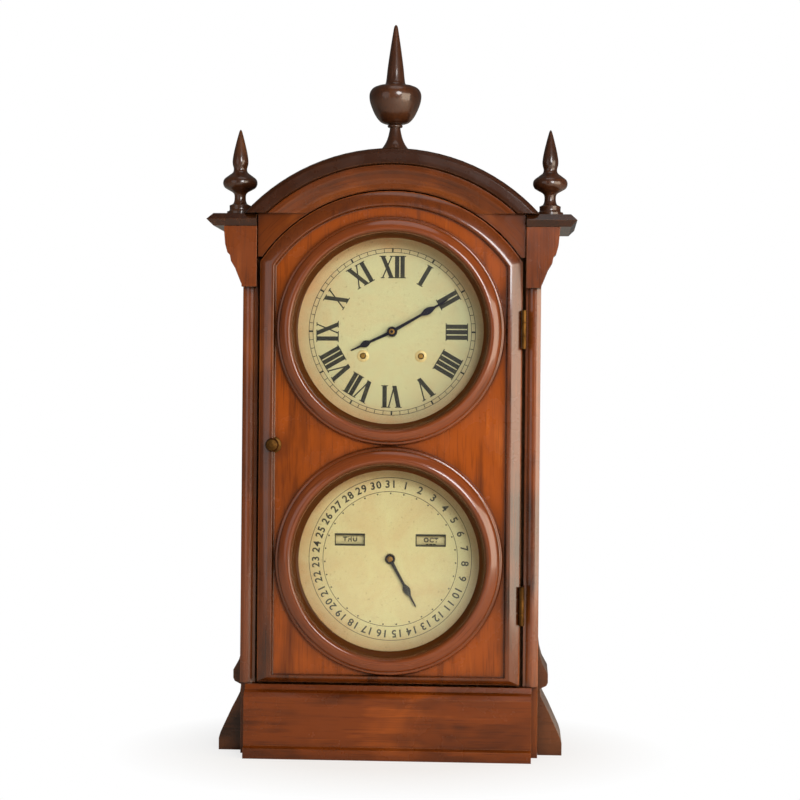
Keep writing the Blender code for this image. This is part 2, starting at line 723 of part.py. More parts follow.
def build_side_base(name, side, wood):
    """The moulding at the side of the base: a flared skirt over an ogee wing."""
    inner = CASE_HALF_WIDTH + SEAT
    rise = SKIRT_HEIGHT - WING_HEIGHT
    outline = [(inner, 0)]
    outline += [(inner + WING_REACH * r, WING_HEIGHT * h) for r, h in WING_PROFILE_SHARES]
    outline += [(inner + SKIRT_REACH * r, WING_HEIGHT + rise * h) for r, h in SKIRT_PROFILE_SHARES]
    outline.append((inner, SKIRT_HEIGHT))
    mirrored = [(side * x, z) for x, z in outline]
    prism(name, [mirrored], "Y", CASE_FRONT + WING_SETBACK, CASE_BACK, wood)


def build_plinth(wood):
    back = CASE_FRONT - SEAT
    depth = back - DOOR_FRONT + PLINTH_PROJECTION
    outline = [(back, 0)] + [(back - depth * d, PLINTH_HEIGHT * h) for d, h in PLINTH_PROFILE_SHARES]
    prism("front_plinth", [outline], "X", -PLINTH_HALF_WIDTH, PLINTH_HALF_WIDTH, wood)


def build_finials(dark):
    top = ARCH_CENTRE + ROOF_OUTER + SEAT
    places = (
        (
            "finial_centre", 0, top, CENTRE_FINIAL_SHARES, CENTRE_FINIAL_RADIUS, CENTRE_FINIAL_HEIGHT,
            CENTRE_FINIAL_STEPS
        ),
        (
            "finial_left", -1, EAR_TOP + SEAT, SIDE_FINIAL_SHARES, SIDE_FINIAL_RADIUS, SIDE_FINIAL_HEIGHT,
            SIDE_FINIAL_STEPS
        ),
        (
            "finial_right", 1, EAR_TOP + SEAT, SIDE_FINIAL_SHARES, SIDE_FINIAL_RADIUS, SIDE_FINIAL_HEIGHT,
            SIDE_FINIAL_STEPS
        ),
    )
    for name, side, base, shares, radius, height, steps in places:
        x = side * (CASE_HALF_WIDTH + SIDE_FINIAL_OFFSET)
        profile = [(radius * r, base + height * h) for r, h in shares]
        profile.append((radius * shares[-1][0] / 4, base + height))
        turned(name, profile, "Z", dark, (x, FINIAL_Y), steps=steps)


def build_dials(wood, dial):
    board = arched_panel(BOTTOM_THICKNESS + SEAT, INNER_HALF_WIDTH, ROOF_INNER - SEAT)
    shaft = HAND_BOSS + RUNNING
    winding = WINDING_RADIUS * 2
    holes = [circle(shaft, SEEN_STEPS, CENTRE), circle(shaft, SEEN_STEPS, (0, LOWER_DIAL))]
    holes += [circle(winding, SEEN_STEPS, arbor) for arbor in (TIME_ARBOR, STRIKE_ARBOR)]
    middle = LOWER_DIAL + ROLLER_RISE
    clear_height = ROLLER_RADIUS + RUNNING
    clear_width = ROLLER_LENGTH / 2 + RUNNING * 2
    for side in (-1, 1):
        x = side * ROLLER_OFFSET
        holes.append(
            rectangle(x - clear_width, x + clear_width, middle - clear_height, middle + clear_height)
        )
    prism("dial_board", [board] + holes, "Y", BOARD_FRONT, BOARD_BACK, wood)
    time_holes = [circle(shaft, SEEN_STEPS, CENTRE)]
    time_holes += [circle(winding, SEEN_STEPS, arbor) for arbor in (TIME_ARBOR, STRIKE_ARBOR)]
    face = circle(DIAL_RADIUS, RING_STEPS, CENTRE)
    prism("time_dial", [face] + time_holes, "Y", DIAL_FRONT, DIAL_BACK, dial)
    windows = [circle(shaft, SEEN_STEPS, (0, LOWER_DIAL))]
    half = ROLLER_LENGTH / 2 - WINDOW_INSET
    for side in (-1, 1):
        x = side * ROLLER_OFFSET
        windows.append(
            rectangle(x - half, x + half, middle - WINDOW_HALF_HEIGHT, middle + WINDOW_HALF_HEIGHT)
        )
    face = circle(DIAL_RADIUS, RING_STEPS, (0, LOWER_DIAL))
    prism("calendar_dial", [face] + windows, "Y", DIAL_FRONT, DIAL_BACK, dial)


def build_door(wood, dark, glass, brass):
    door = group("door_axis", (HINGE_X, HINGE_Y, DOOR_BOTTOM))
    centres = ((0, UPPER_DIAL), (0, LOWER_DIAL))
    holes = [circle(GLASS_HOLE_RADIUS, RING_STEPS, centre) for centre in centres]
    latch_hole = circle(LATCH_SPINDLE_RADIUS + RUNNING, ROUND_STEPS, (-KNOB_OFFSET, KNOB_Z))
    slab = [arched_panel(DOOR_BOTTOM, DOOR_HALF_WIDTH, DOOR_ARCH)] + holes + [latch_hole]
    frame = prism("door_frame", slab, "Y", DOOR_FRONT, DOOR_BACK, wood, door)
    rims = []
    for step in (0, DOOR_BEAD_WIDTH):
        inset = DOOR_BEAD_INSET + step
        rims.append(
            arched_panel(DOOR_BOTTOM + DOOR_BEAD_FOOT + step, DOOR_HALF_WIDTH - inset, DOOR_ARCH - inset)
        )
    bead = prism("door_bead", rims, "Y", DOOR_FRONT - DOOR_BEAD_RISE, DOOR_FRONT + DOOR_BEAD_RISE, wood, door)
    fuse(frame, bead)
    names = (("ring_upper", "glass_upper", UPPER_RING_LIP), ("ring_lower", "glass_lower", LOWER_RING_LIP))
    for (ring_name, glass_name, lip), centre in zip(names, centres):
        inner = RING_INNER_RADIUS - lip
        width = RING_OUTER_RADIUS - inner
        profile = [(inner + width * r, RING_BACK - RING_RISE * h) for r, h in RING_PROFILE_SHARES]
        turned(ring_name, profile, "Y", wood, centre, door, RING_STEPS, ring=True)
        pane = [circle(GLASS_HOLE_RADIUS - SEAT, RING_STEPS, centre)]
        prism(glass_name, pane, "Y", DOOR_FRONT, DOOR_FRONT + GLASS_THICKNESS, glass, door)
    height = DOOR_ARCH + ARCH_CENTRE - DOOR_BOTTOM
    for name, share in (("hinge_upper", HINGE_UPPER_SHARE), ("hinge_lower", HINGE_LOWER_SHARE)):
        build_hinge(name, DOOR_BOTTOM + height * share, brass, door)
    return door


def build_hinge(name, middle, brass, door):
    """A butt hinge: the case leaf has the end knuckles and the pin, the door leaf the middle knuckle."""
    low = middle - HINGE_HEIGHT / 2
    high = middle + HINGE_HEIGHT / 2
    knuckle = HINGE_HEIGHT * HINGE_KNUCKLE_SHARE / 2
    centre = (HINGE_X, HINGE_Y)
    back = DOOR_FRONT + HINGE_LEAF_DEPTH
    leaf = rectangle(PILASTER_INNER - SEAT - HINGE_LEAF_THICKNESS, PILASTER_INNER - SEAT, HINGE_Y, back)
    case_leaf = prism(name + "_case_leaf", [leaf], "Z", low, high, brass)
    wide = 2 * HINGE_KNUCKLE_RADIUS
    cut = rectangle(HINGE_X - wide, HINGE_X + wide, HINGE_Y - wide, DOOR_FRONT)
    gap = prism(name + "_gap", [cut], "Z", middle - knuckle - RUNNING, middle + knuckle + RUNNING, brass)
    combine(case_leaf, gap, "DIFFERENCE")
    pin = spindle(name + "_pin", [(HINGE_PIN_RADIUS, low + SEAT, high - SEAT)], "Z", brass, centre)
    lower = spindle(
        name + "_low", [(HINGE_KNUCKLE_RADIUS, low, middle - knuckle - RUNNING)], "Z", brass, centre
    )
    upper = spindle(
        name + "_high", [(HINGE_KNUCKLE_RADIUS, middle + knuckle + RUNNING, high)], "Z", brass, centre
    )
    fuse(case_leaf, lower, upper, pin)
    left = DOOR_HALF_WIDTH + SEAT
    leaf = rectangle(left, left + HINGE_LEAF_THICKNESS, DOOR_FRONT, back)
    door_leaf = prism(name + "_door_leaf", [leaf], "Z", low, high, brass, door)
    neck = rectangle(left, left + HINGE_LEAF_THICKNESS, HINGE_Y, DOOR_FRONT + SEAT)
    neck = prism(name + "_neck", [neck], "Z", middle - knuckle, middle + knuckle, brass, door)
    barrel = spindle(
        name + "_barrel", [(HINGE_KNUCKLE_RADIUS, middle - knuckle, middle + knuckle)], "Z", brass, centre,
        door
    )
    bore = spindle(name + "_bore", [(HINGE_PIN_RADIUS + RUNNING, low, high)], "Z", brass, centre, door)
    fuse(door_leaf, neck, barrel)
    combine(door_leaf, bore, "DIFFERENCE")


def build_latch(brass, door):
    """A turned knob on a spindle through the door, with a tongue that turns behind the pilaster."""
    axis = group("latch_axis", (-KNOB_OFFSET, DOOR_FRONT, KNOB_Z))
    centre = (-KNOB_OFFSET, KNOB_Z)
    back = DOOR_BACK + RUNNING
    profile = [
        (KNOB_RADIUS * r, DOOR_FRONT - SEAT - KNOB_LENGTH * h) for r, h in reversed(KNOB_PROFILE_SHARES)
    ]
    profile += [(LATCH_SPINDLE_RADIUS, DOOR_FRONT - SEAT), (LATCH_SPINDLE_RADIUS, back + LATCH_THICKNESS / 2)]
    knob = turned("door_latch", profile, "Y", brass, centre, axis, steps=16)
    half = LATCH_WIDTH / 2
    shape = rectangle(-KNOB_OFFSET - half, -KNOB_OFFSET + half, KNOB_Z - LATCH_LENGTH, KNOB_Z + half)
    fuse(knob, prism("latch_tongue", [shape], "Y", back, back + LATCH_THICKNESS, brass, axis))


def hand(name, length, angle, centre, bore, plane, steel, carrier):
    """A clock hand with a round boss and a leaf near its tip."""
    turn = radians(angle)
    right = [(HAND_WIDTH * w, length * l) for w, l in HAND_SHARES]
    boss_start = asin(HAND_WIDTH * HAND_SHARES[0][0] / HAND_BOSS)
    outline = arc(HAND_BOSS, pi / 2 - boss_start, boss_start - 3 * pi / 2, SEEN_STEPS)
    outline = outline[::-1] + right + [(0, length)] + [(-x, z) for x, z in right[::-1]]
    placed = [
        (centre[0] + x * cos(turn) + z * sin(turn), centre[1] - x * sin(turn) + z * cos(turn))
        for x, z in outline
    ]
    return prism(
        name, [placed, circle(bore, ROUND_STEPS, centre)], "Y", plane, plane + HAND_THICKNESS, steel,
        carrier
    )


def build_motion_work(brass, steel):
    """The arbor that carries the minute hand, and the 12 to 1 reduction to the hour hand."""
    minute = group("minute_axis", axis_point(CENTRE))
    hour = group("hour_axis", axis_point(CENTRE))
    middle = group("minute_wheel_axis", axis_point(MINUTE_ARBOR))
    hour_plane = DIAL_FRONT - HAND_STEP - HAND_THICKNESS
    minute_plane = hour_plane - HAND_STEP - HAND_THICKNESS
    tip = minute_plane - HAND_STEP
    arbor = spindle("centre_arbor", [(ARBOR_RADIUS, tip, ARBOR_BACK)], "Y", steel, CENTRE, minute)
    wheel_start = MOVEMENT_FRONT - MOTION_GAP - WHEEL_THICKNESS
    leaves = pinion(
        "cannon_leaves", CANNON_LEAVES, MOTION_MODULE, CENTRE, MINUTE_ARBOR, wheel_start - SEAT,
        wheel_start + 2 * WHEEL_THICKNESS,
        brass, carrier=minute,
    )
    fuse(arbor, leaves)
    hand(
        "minute_hand", DIAL_RADIUS * MINUTE_HAND_SHARE, MINUTE_HAND_ANGLE, CENTRE, ARBOR_RADIUS + SEAT,
        minute_plane, steel, minute
    )
    hour_start = wheel_start - MOTION_GAP - 2 * WHEEL_THICKNESS
    hole = [circle((PIPE_BORE + PIPE_RADIUS) / 2, ROUND_STEPS, CENTRE)]
    hours = wheel(
        "hour_wheel", HOUR_TEETH, HOUR_MODULE, CENTRE, MINUTE_ARBOR, hour_start, WHEEL_THICKNESS, brass,
        hole, hour
    )
    pipe = [circle(PIPE_RADIUS, ROUND_STEPS, CENTRE), circle(PIPE_BORE, ROUND_STEPS, CENTRE)]
    pipe = prism("hour_pipe", pipe, "Y", hour_plane - SEAT, hour_start + WHEEL_THICKNESS + SEAT, brass, hour)
    fuse(hours, pipe)
    hand(
        "hour_hand", DIAL_RADIUS * HOUR_HAND_SHARE, HOUR_HAND_ANGLE, CENTRE, PIPE_RADIUS + SEAT, hour_plane,
        steel, hour
    )
    bore = STUD_RADIUS + RUNNING
    hole = [circle(bore + SEAT, ROUND_STEPS, MINUTE_ARBOR)]
    minutes = wheel(
        "minute_wheel", MINUTE_TEETH, MOTION_MODULE, MINUTE_ARBOR, CENTRE, wheel_start, WHEEL_THICKNESS,
        brass, hole, middle
    )
    leaves = pinion(
        "minute_leaves", MINUTE_LEAVES, HOUR_MODULE, MINUTE_ARBOR, CENTRE, hour_start - SEAT,
        wheel_start + SEAT, brass, bore, middle
    )
    fuse(minutes, leaves)


def build_great_wheel(prefix, arbor, plane, partner, brass, steel):
    """A great wheel on its winding arbor, with the drum inside its mainspring."""
    axis = group(prefix + "_great_axis", axis_point(arbor))
    drum = (HUB_RADIUS, SPRING_START, SPRING_START + SPRING_WIDTH)
    front = DIAL_FRONT + SEAT
    lengths = [(WINDING_RADIUS, front, drum[1]), drum, (WINDING_RADIUS, drum[2], ARBOR_BACK)]
    bar = spindle(prefix + "_great_wheel", lengths, "Y", steel, arbor, axis)
    teeth = wheel(
        prefix + "_great_teeth", GREAT_TEETH, GREAT_MODULE, arbor, partner, plane - GREAT_THICKNESS / 2,
        GREAT_THICKNESS,
        brass, carrier=axis,
    )
    fuse(bar, teeth)
    strip = spiral(
        HUB_RADIUS + SEAT + SPRING_STRIP, SPRING_RADIUS, SPRING_TURNS, SPRING_STRIP, SPRING_TURN_STEPS,
        arbor
    )
    prism(prefix + "_mainspring", [strip], "Y", drum[1], drum[2], steel)
    return axis


def build_train(brass, steel):
    """The wheels between the plates, from the great wheels to the escapement."""
    centre = group("centre_wheel_axis", axis_point(CENTRE))
    third = group("third_axis", axis_point(THIRD_ARBOR))
    escape = group("escape_axis", axis_point(ESCAPE_ARBOR))
    bore = ARBOR_RADIUS + RUNNING
    start = CENTRE_PLANE - WHEEL_THICKNESS / 2
    rim = CENTRE_TEETH * CENTRE_MODULE / 2
    holes = [circle(bore + SEAT, ROUND_STEPS, CENTRE)] + crossings(rim, CENTRE)
    centre_wheel = wheel(
        "centre_wheel", CENTRE_TEETH, CENTRE_MODULE, CENTRE, THIRD_ARBOR, start, WHEEL_THICKNESS, brass,
        holes, centre
    )
    leaves = pinion(
        "centre_leaves", LEAVES, GREAT_MODULE, CENTRE, TIME_ARBOR, start - SEAT,
        TIME_PLANE + GREAT_THICKNESS, brass, bore, centre
    )
    fuse(centre_wheel, leaves)
    bar = spindle("third_wheel", [(PIVOT_RADIUS, ARBOR_FRONT, ARBOR_BACK)], "Y", steel, THIRD_ARBOR, third)
    rim = THIRD_TEETH * THIRD_MODULE / 2
    start = THIRD_PLANE - WHEEL_THICKNESS / 2
    teeth = wheel(
        "third_teeth", THIRD_TEETH, THIRD_MODULE, THIRD_ARBOR, ESCAPE_ARBOR, start, WHEEL_THICKNESS, brass,
        crossings(rim, THIRD_ARBOR), third,
    )
    reach = 2 * WHEEL_THICKNESS
    leaves = pinion(
        "third_leaves", LEAVES, CENTRE_MODULE, THIRD_ARBOR, CENTRE, CENTRE_PLANE - reach,
        CENTRE_PLANE + reach, steel, carrier=third
    )
    fuse(bar, teeth, leaves)
    bar = spindle("escape_wheel", [(PIVOT_RADIUS, ARBOR_FRONT, ARBOR_BACK)], "Y", steel, ESCAPE_ARBOR, escape)
    outline = ratchet(ESCAPE_TEETH, ESCAPE_RADIUS, ESCAPE_TOOTH, ESCAPE_ARBOR)
    start = ESCAPE_PLANE - WHEEL_THICKNESS / 2
    teeth = prism(
        "escape_teeth", [outline] + crossings(ESCAPE_RADIUS, ESCAPE_ARBOR), "Y", start,
        start + WHEEL_THICKNESS, brass, escape
    )
    leaves = pinion(
        "escape_leaves", LEAVES, THIRD_MODULE, ESCAPE_ARBOR, THIRD_ARBOR, THIRD_PLANE - reach, ESCAPE_PLANE,
        steel, carrier=escape
    )
    fuse(bar, teeth, leaves)


def build_escapement(brass, steel):
    """The verge with its crutch, which reaches back round the pendulum rod."""
    verge = group("verge_axis", axis_point(VERGE_ARBOR))
    crutch_front = REAR_PLATE_BACK + CRUTCH_GAP
    crutch_back = crutch_front + PALLET_THICKNESS
    bar = spindle("verge", [(PIVOT_RADIUS, ARBOR_FRONT, crutch_back)], "Y", steel, VERGE_ARBOR, verge)
    reach = ESCAPE_RADIUS + PALLET_CLEARANCE
    tips = [toward(90 - side * PALLET_ANGLE, reach, ESCAPE_ARBOR) for side in (-1, 1)]
    top = VERGE_ARBOR[1] + PIVOT_RADIUS * 2
    inner_top = VERGE_ARBOR[1] - PIVOT_RADIUS
    anchor = [
        tips[0], (tips[0][0] - PALLET_THICKNESS, tips[0][1]), (-PIVOT_RADIUS * 2, top),
        (PIVOT_RADIUS * 2, top)
    ]
    anchor += [
        (tips[1][0] + PALLET_THICKNESS, tips[1][1]), tips[1], (PIVOT_RADIUS, inner_top),
        (-PIVOT_RADIUS, inner_top)
    ]
    start = ESCAPE_PLANE - WHEEL_THICKNESS / 2
    anchor = prism("anchor", [anchor], "Y", start, start + WHEEL_THICKNESS, steel, verge)
    low = VERGE_ARBOR[1] - CRUTCH_DROP
    half = PALLET_THICKNESS
    wire = prism(
        "crutch_wire", [rectangle(-half, half, low, VERGE_ARBOR[1])], "Y", crutch_front, crutch_back, steel,
        verge
    )
    fork_half = PENDULUM_ROD_RADIUS * 3
    fork_back = PENDULUM_PLANE + PENDULUM_ROD_RADIUS * 2
    fork = rectangle(-fork_half, fork_half, crutch_front, fork_back)
    fork = prism("crutch_fork", [fork], "Z", low - half, low + half, steel, verge)
    slot_half = PENDULUM_ROD_RADIUS + RUNNING
    slot = rectangle(-slot_half, slot_half, PENDULUM_PLANE - PENDULUM_ROD_RADIUS * 2, fork_back + SEAT)
    slot = prism("crutch_slot", [slot], "Z", low - 2 * half, low + 2 * half, steel, verge)
    fuse(bar, anchor, wire, fork)
    combine(bar, slot, "DIFFERENCE")


def build_pendulum(brass, steel):
    """A wire rod on a short flat suspension spring, and a lens-shaped bob hooked under it."""
    pendulum = group("pendulum_axis", (0, PENDULUM_PLANE, SUSPENSION[1]))
    centre = (0, PENDULUM_PLANE)
    bob_top = BOB_CENTRE + BOB_RADIUS
    strip_low = SUSPENSION[1] - SUSPENSION_BLOCK
    rod = spindle(
        "pendulum_rod", [(PENDULUM_ROD_RADIUS, bob_top + SEAT, strip_low)], "Z", steel, centre, pendulum
    )
    strip = rectangle(
        -SUSPENSION_STRIP / 2, SUSPENSION_STRIP / 2, strip_low - SUSPENSION_BLOCK / 2,
        SUSPENSION[1] + SUSPENSION_BLOCK / 2
    )
    half = PENDULUM_ROD_RADIUS * PENDULUM_FLAT_SHARE
    fuse(
        rod,
        prism("suspension_strip", [strip], "Y", PENDULUM_PLANE - half, PENDULUM_PLANE + half, steel, pendulum)
    )
    profile = [(BOB_RADIUS * r, PENDULUM_PLANE + BOB_THICKNESS * h) for r, h in BOB_SHARES]
    turned("pendulum_bob", profile, "Y", brass, (0, BOB_CENTRE), pendulum, steps=BOB_STEPS)


def plate_outline():
    cut = PLATE_CORNER_CUT
    left, right = -PLATE_HALF_WIDTH, PLATE_HALF_WIDTH
    low, high = PLATE_BOTTOM, PLATE_TOP
    return [
        (left + cut, low), (right - cut, low), (right, low + cut), (right, high - cut),
        (right - cut, high), (left + cut, high), (left, high - cut), (left, low + cut),
    ]


def pivot_holes():
    """The plates' holes: the winding and centre arbors' wider than the pivots'."""
    places = [(CENTRE, ARBOR_RADIUS), (TIME_ARBOR, WINDING_RADIUS), (STRIKE_ARBOR, WINDING_RADIUS)]
    places += [(arbor, PIVOT_RADIUS) for arbor in (THIRD_ARBOR, ESCAPE_ARBOR, VERGE_ARBOR, HAMMER_ARBOR)]
    return [circle(radius + RUNNING, ROUND_STEPS, arbor) for arbor, radius in places]


def build_plates(brass, steel):
    outlines = [plate_outline()] + pivot_holes()
    front = prism("front_plate", outlines, "Y", MOVEMENT_FRONT, FRONT_PLATE_BACK, brass)
    stud_front = MOVEMENT_FRONT - 2 * MOTION_GAP - 5 * WHEEL_THICKNESS
    stud = spindle(
        "minute_stud", [(STUD_RADIUS, stud_front, FRONT_PLATE_BACK - SEAT)], "Y", steel, MINUTE_ARBOR
    )
    fuse(front, stud)
    rear = prism("back_plate", outlines, "Y", REAR_PLATE_FRONT, REAR_PLATE_BACK, brass)
    pillars = []
    for x in (-PILLAR_OFFSET, PILLAR_OFFSET):
        for z in (PLATE_BOTTOM + PILLAR_INSET, PLATE_TOP - PILLAR_INSET):
            length = [(PILLAR_RADIUS, FRONT_PLATE_BACK + SEAT, BACKBOARD_FRONT - SEAT)]
            pillars.append(spindle("pillar", length, "Y", brass, (x, z)))
    half = SUSPENSION_BLOCK / 2
    slot = (SUSPENSION_STRIP / 2 + SEAT, SUSPENSION[1])
    block_outline = [
        (-half, slot[1]), (-slot[0], slot[1]), (-slot[0], slot[1] + half + SEAT),
        (slot[0], slot[1] + half + SEAT),
        (slot[0], slot[1]), (half, slot[1]), (half, slot[1] + SUSPENSION_BLOCK),
        (-half, slot[1] + SUSPENSION_BLOCK),
    ]
    block = prism("suspension_block", [block_outline], "Y", REAR_PLATE_BACK, PENDULUM_PLANE + half, brass)
    strap = rectangle(SEAT - half, half - SEAT, PLATE_TOP - half, slot[1] + SUSPENSION_BLOCK - SEAT)
    strap = prism(
        "suspension_strap", [strap], "Y", REAR_PLATE_BACK - SEAT, REAR_PLATE_BACK + SUSPENSION_STRAP, brass
    )
    fuse(rear, *pillars, strap, block)


def build_strike(brass, steel, dark):
    """The count wheel, the hammer and the wound gong on its base."""
    count = (COUNT_TEETH, COUNT_RADIUS, COUNT_NOTCH, STRIKE_ARBOR)
    whole = {
        1, 3, 4, 6, 7, 8, 10, 11, 12, 13, 15, 16, 17, 18, 19, 21, 22, 23, 24, 25, 26, 28, 29, 30, 31, 32,
        33, 34
    }
    outlines = [notched(*count, whole), circle(WINDING_RADIUS + SEAT, ROUND_STEPS, STRIKE_ARBOR)]
    start = MOVEMENT_FRONT - MOTION_GAP - WHEEL_THICKNESS
    prism(
        "count_wheel", outlines, "Y", start, start + WHEEL_THICKNESS, brass,
        bpy.data.objects["strike_great_axis"]
    )
    axis = group("hammer_axis", axis_point(HAMMER_ARBOR))
    plane = REAR_PLATE_BACK + HAMMER_PLANE_GAP
    lengths = [(PIVOT_RADIUS, ARBOR_FRONT, plane + HAMMER_ROD_RADIUS)]
    bar = spindle("hammer", lengths, "Y", steel, HAMMER_ARBOR, axis)
    low = GONG_HEIGHT - HAMMER_HEAD_RADIUS / 2
    rod = spindle(
        "hammer_rod", [(HAMMER_ROD_RADIUS, low, HAMMER_ARBOR[1])], "Z", steel, (HAMMER_ARBOR[0], plane),
        axis
    )
    half = HAMMER_HEAD_LENGTH / 2
    neck = [(HAMMER_ROD_RADIUS, plane, GONG_PLANE)]
    neck = spindle("hammer_neck", neck, "Y", steel, (HAMMER_ARBOR[0], GONG_HEIGHT), axis)
    head = [(HAMMER_HEAD_RADIUS, HAMMER_ARBOR[0] - half, HAMMER_ARBOR[0] + half)]
    head = spindle("hammer_head", head, "X", brass, (GONG_PLANE, GONG_HEIGHT), axis)
    fuse(bar, rod, neck, head)
    base = [(GONG_BASE_RADIUS, GONG_PLANE - 2 * GONG_WIRE_RADIUS, BACKBOARD_FRONT - SEAT)]
    spindle("gong_base", base, "Y", dark, (0, GONG_HEIGHT))
    build_gong(steel)


def build_gong(steel):
    """One unbroken wire wound in a flat spiral, whose inner end meets the base."""
    count = GONG_TURNS * GONG_TURN_STEPS
    eye = GONG_BASE_RADIUS + SEAT
    first = eye + 2 * GONG_WIRE_RADIUS
    points = [(0, eye)]
    for i in range(count + 1):
        radius = first + (GONG_RADIUS - first) * i / count
        turn = pi / 2 + tau * i / GONG_TURN_STEPS
        points.append((radius * cos(turn), radius * sin(turn)))
    curve = bpy.data.curves.new("gong_coil", "CURVE")
    curve.dimensions = "3D"
    curve.bevel_depth = GONG_WIRE_RADIUS
    curve.bevel_resolution = 1
    curve.use_fill_caps = True
    line = curve.splines.new("POLY")
    line.points.add(len(points) - 1)
    for place, (x, z) in zip(line.points, points):
        place.co = (x, GONG_PLANE, GONG_HEIGHT + z, 1)
    curve.materials.append(steel)
    coil = bpy.data.objects.new("gong_coil", curve)
    bpy.context.scene.collection.objects.link(coil)
    spaced = points[1:]
    apart = [
        hypot(a[0] - b[0], a[1] - b[1])
        for i, a in enumerate(spaced) for b in spaced[i + GONG_TURN_STEPS // 2:]
    ]
    print(f"gong wire: least gap to itself {(min(apart) - 2 * GONG_WIRE_RADIUS) * 1000:.2f} mm")


def build_calendar_frame(brass, steel):
    """The plate behind the calendar dial, with posts to the dial board and tabs that carry the rollers."""
    left, right = -CALENDAR_HALF_WIDTH, CALENDAR_HALF_WIDTH
    low, high = LOWER_DIAL - CALENDAR_DROP, LOWER_DIAL + CALENDAR_RISE
    back = CALENDAR_PLATE_FRONT + PLATE_THICKNESS
    holes = [circle(PIVOT_RADIUS + RUNNING, ROUND_STEPS, (0, LOWER_DIAL))]
    plate = prism(
        "calendar_plate", [rectangle(left, right, low, high)] + holes, "Y", CALENDAR_PLATE_FRONT, back,
        brass
    )
    inset = 2 * CALENDAR_POST_RADIUS
    helpers = []
    for x in (left + inset, right - inset):
        for z in (low + inset, high - inset):
            post = [(CALENDAR_POST_RADIUS, BOARD_BACK + SEAT, back - SEAT)]
            helpers.append(spindle("calendar_post", post, "Y", brass, (x, z)))
    middle = LOWER_DIAL + ROLLER_RISE
    tab_half = 3 * ROLLER_PIVOT
    shape = rectangle(ROLLER_PLANE - tab_half, back - SEAT, middle - tab_half, middle + tab_half)
    bore = circle(ROLLER_PIVOT + RUNNING, ROUND_STEPS, (ROLLER_PLANE, middle))
    for side in (-1, 1):
        for end in (-1, 1):
            near = side * ROLLER_OFFSET + end * (ROLLER_LENGTH / 2 + SEAT)
            span = sorted((near, near + end * EAR_TAB_THICKNESS))
            helpers.append(prism("roller_tab", [shape, bore], "X", *span, brass))
    stud = [(STUD_RADIUS, CAM_PLANE - WHEEL_THICKNESS, back - SEAT)]
    helpers.append(spindle("cam_stud", stud, "Y", steel, CAM_ARBOR))
    guide_z = LOWER_DIAL + CALENDAR_RISE - 2 * LEVER_WIDTH
    wide = LEVER_WIDTH / 2 + SEAT
    thick = LEVER_THICKNESS / 2 + SEAT
    outer = rectangle(LEVER_OFFSET - 2 * wide, LEVER_OFFSET + 2 * wide, LEVER_PLANE - 2 * thick, back - SEAT)
    inner = rectangle(LEVER_OFFSET - wide, LEVER_OFFSET + wide, LEVER_PLANE - thick, LEVER_PLANE + thick)
    helpers.append(prism("lever_guide", [outer, inner], "Z", guide_z, guide_z + LEVER_WIDTH / 2, brass))
    fuse(plate, *helpers)


def build_calendar_work(brass, steel, drum):
    """The date wheel and its hand, the two rollers, the four-year cam and the lifting lever."""
    date = group("date_axis", (0, 0, LOWER_DIAL))
    hand_plane = DIAL_FRONT - HAND_STEP - HAND_THICKNESS
    tip = hand_plane - HAND_STEP
    centre = (0, LOWER_DIAL)
    back = CALENDAR_PLATE_FRONT + PLATE_THICKNESS + PIVOT_PROUD
    bar = spindle("date_wheel", [(PIVOT_RADIUS, tip, back)], "Y", steel, centre, date)
    start = DATE_PLANE - WHEEL_THICKNESS / 2
    teeth = ratchet(DATE_TEETH, DATE_RADIUS, DATE_TOOTH, centre)
    teeth = prism(
        "date_teeth", [teeth] + crossings(DATE_RADIUS, centre), "Y", start, start + WHEEL_THICKNESS, brass,
        date
    )
    fuse(bar, teeth)
    hand(
        "date_hand", DIAL_RADIUS * DATE_HAND_SHARE, DATE_HAND_ANGLE, centre, PIVOT_RADIUS + SEAT,
        hand_plane, steel, date
    )
    middle = LOWER_DIAL + ROLLER_RISE
    for name, side, count in (("weekday_roller", -1, 7), ("month_roller", 1, 12)):
        axis = group(name + "_axis", (side * ROLLER_OFFSET, ROLLER_PLANE, middle))
        half = ROLLER_LENGTH / 2
        pivot = half + SEAT + EAR_TAB_THICKNESS + PIVOT_PROUD
        spans = ((-pivot, -half, ROLLER_PIVOT), (-half, half, ROLLER_RADIUS), (half, pivot, ROLLER_PIVOT))
        profile = []
        for start, end, radius in spans:
            profile += [(radius, side * ROLLER_OFFSET + start), (radius, side * ROLLER_OFFSET + end)]
        turned(
            name, profile, "X", drum, (ROLLER_PLANE, middle), axis,
            steps=count * 2 if count > 7 else count * 3
        )
    cam = group("cam_axis", axis_point(CAM_ARBOR))
    short = {step for step in range(CAM_STEPS) if step % 12 in (0, 2, 4, 6, 7, 9, 11)}
    outlines = [notched(CAM_STEPS, CAM_RADIUS, CAM_NOTCH, CAM_ARBOR, short)]
    outlines.append(circle(STUD_RADIUS + RUNNING, ROUND_STEPS, CAM_ARBOR))
    start = CAM_PLANE - WHEEL_THICKNESS / 2
    prism("year_cam", outlines, "Y", start, start + WHEEL_THICKNESS, brass, cam)
    lever = group("lever_axis", (LEVER_OFFSET, LEVER_PLANE, LOWER_DIAL + LEVER_START))
    half = LEVER_WIDTH / 2
    low = LOWER_DIAL + LEVER_START
    blade = rectangle(LEVER_OFFSET - half, LEVER_OFFSET + half, low, UPPER_DIAL - LEVER_STOP)
    thick = LEVER_THICKNESS / 2
    blade = prism("calendar_lever", [blade], "Y", LEVER_PLANE - thick, LEVER_PLANE + thick, steel, lever)
    foot = rectangle(LEVER_OFFSET - half, LEVER_OFFSET + half, low, low + half)
    fuse(blade, prism("lever_foot", [foot], "Y", DATE_PLANE - thick, LEVER_PLANE, steel, lever))


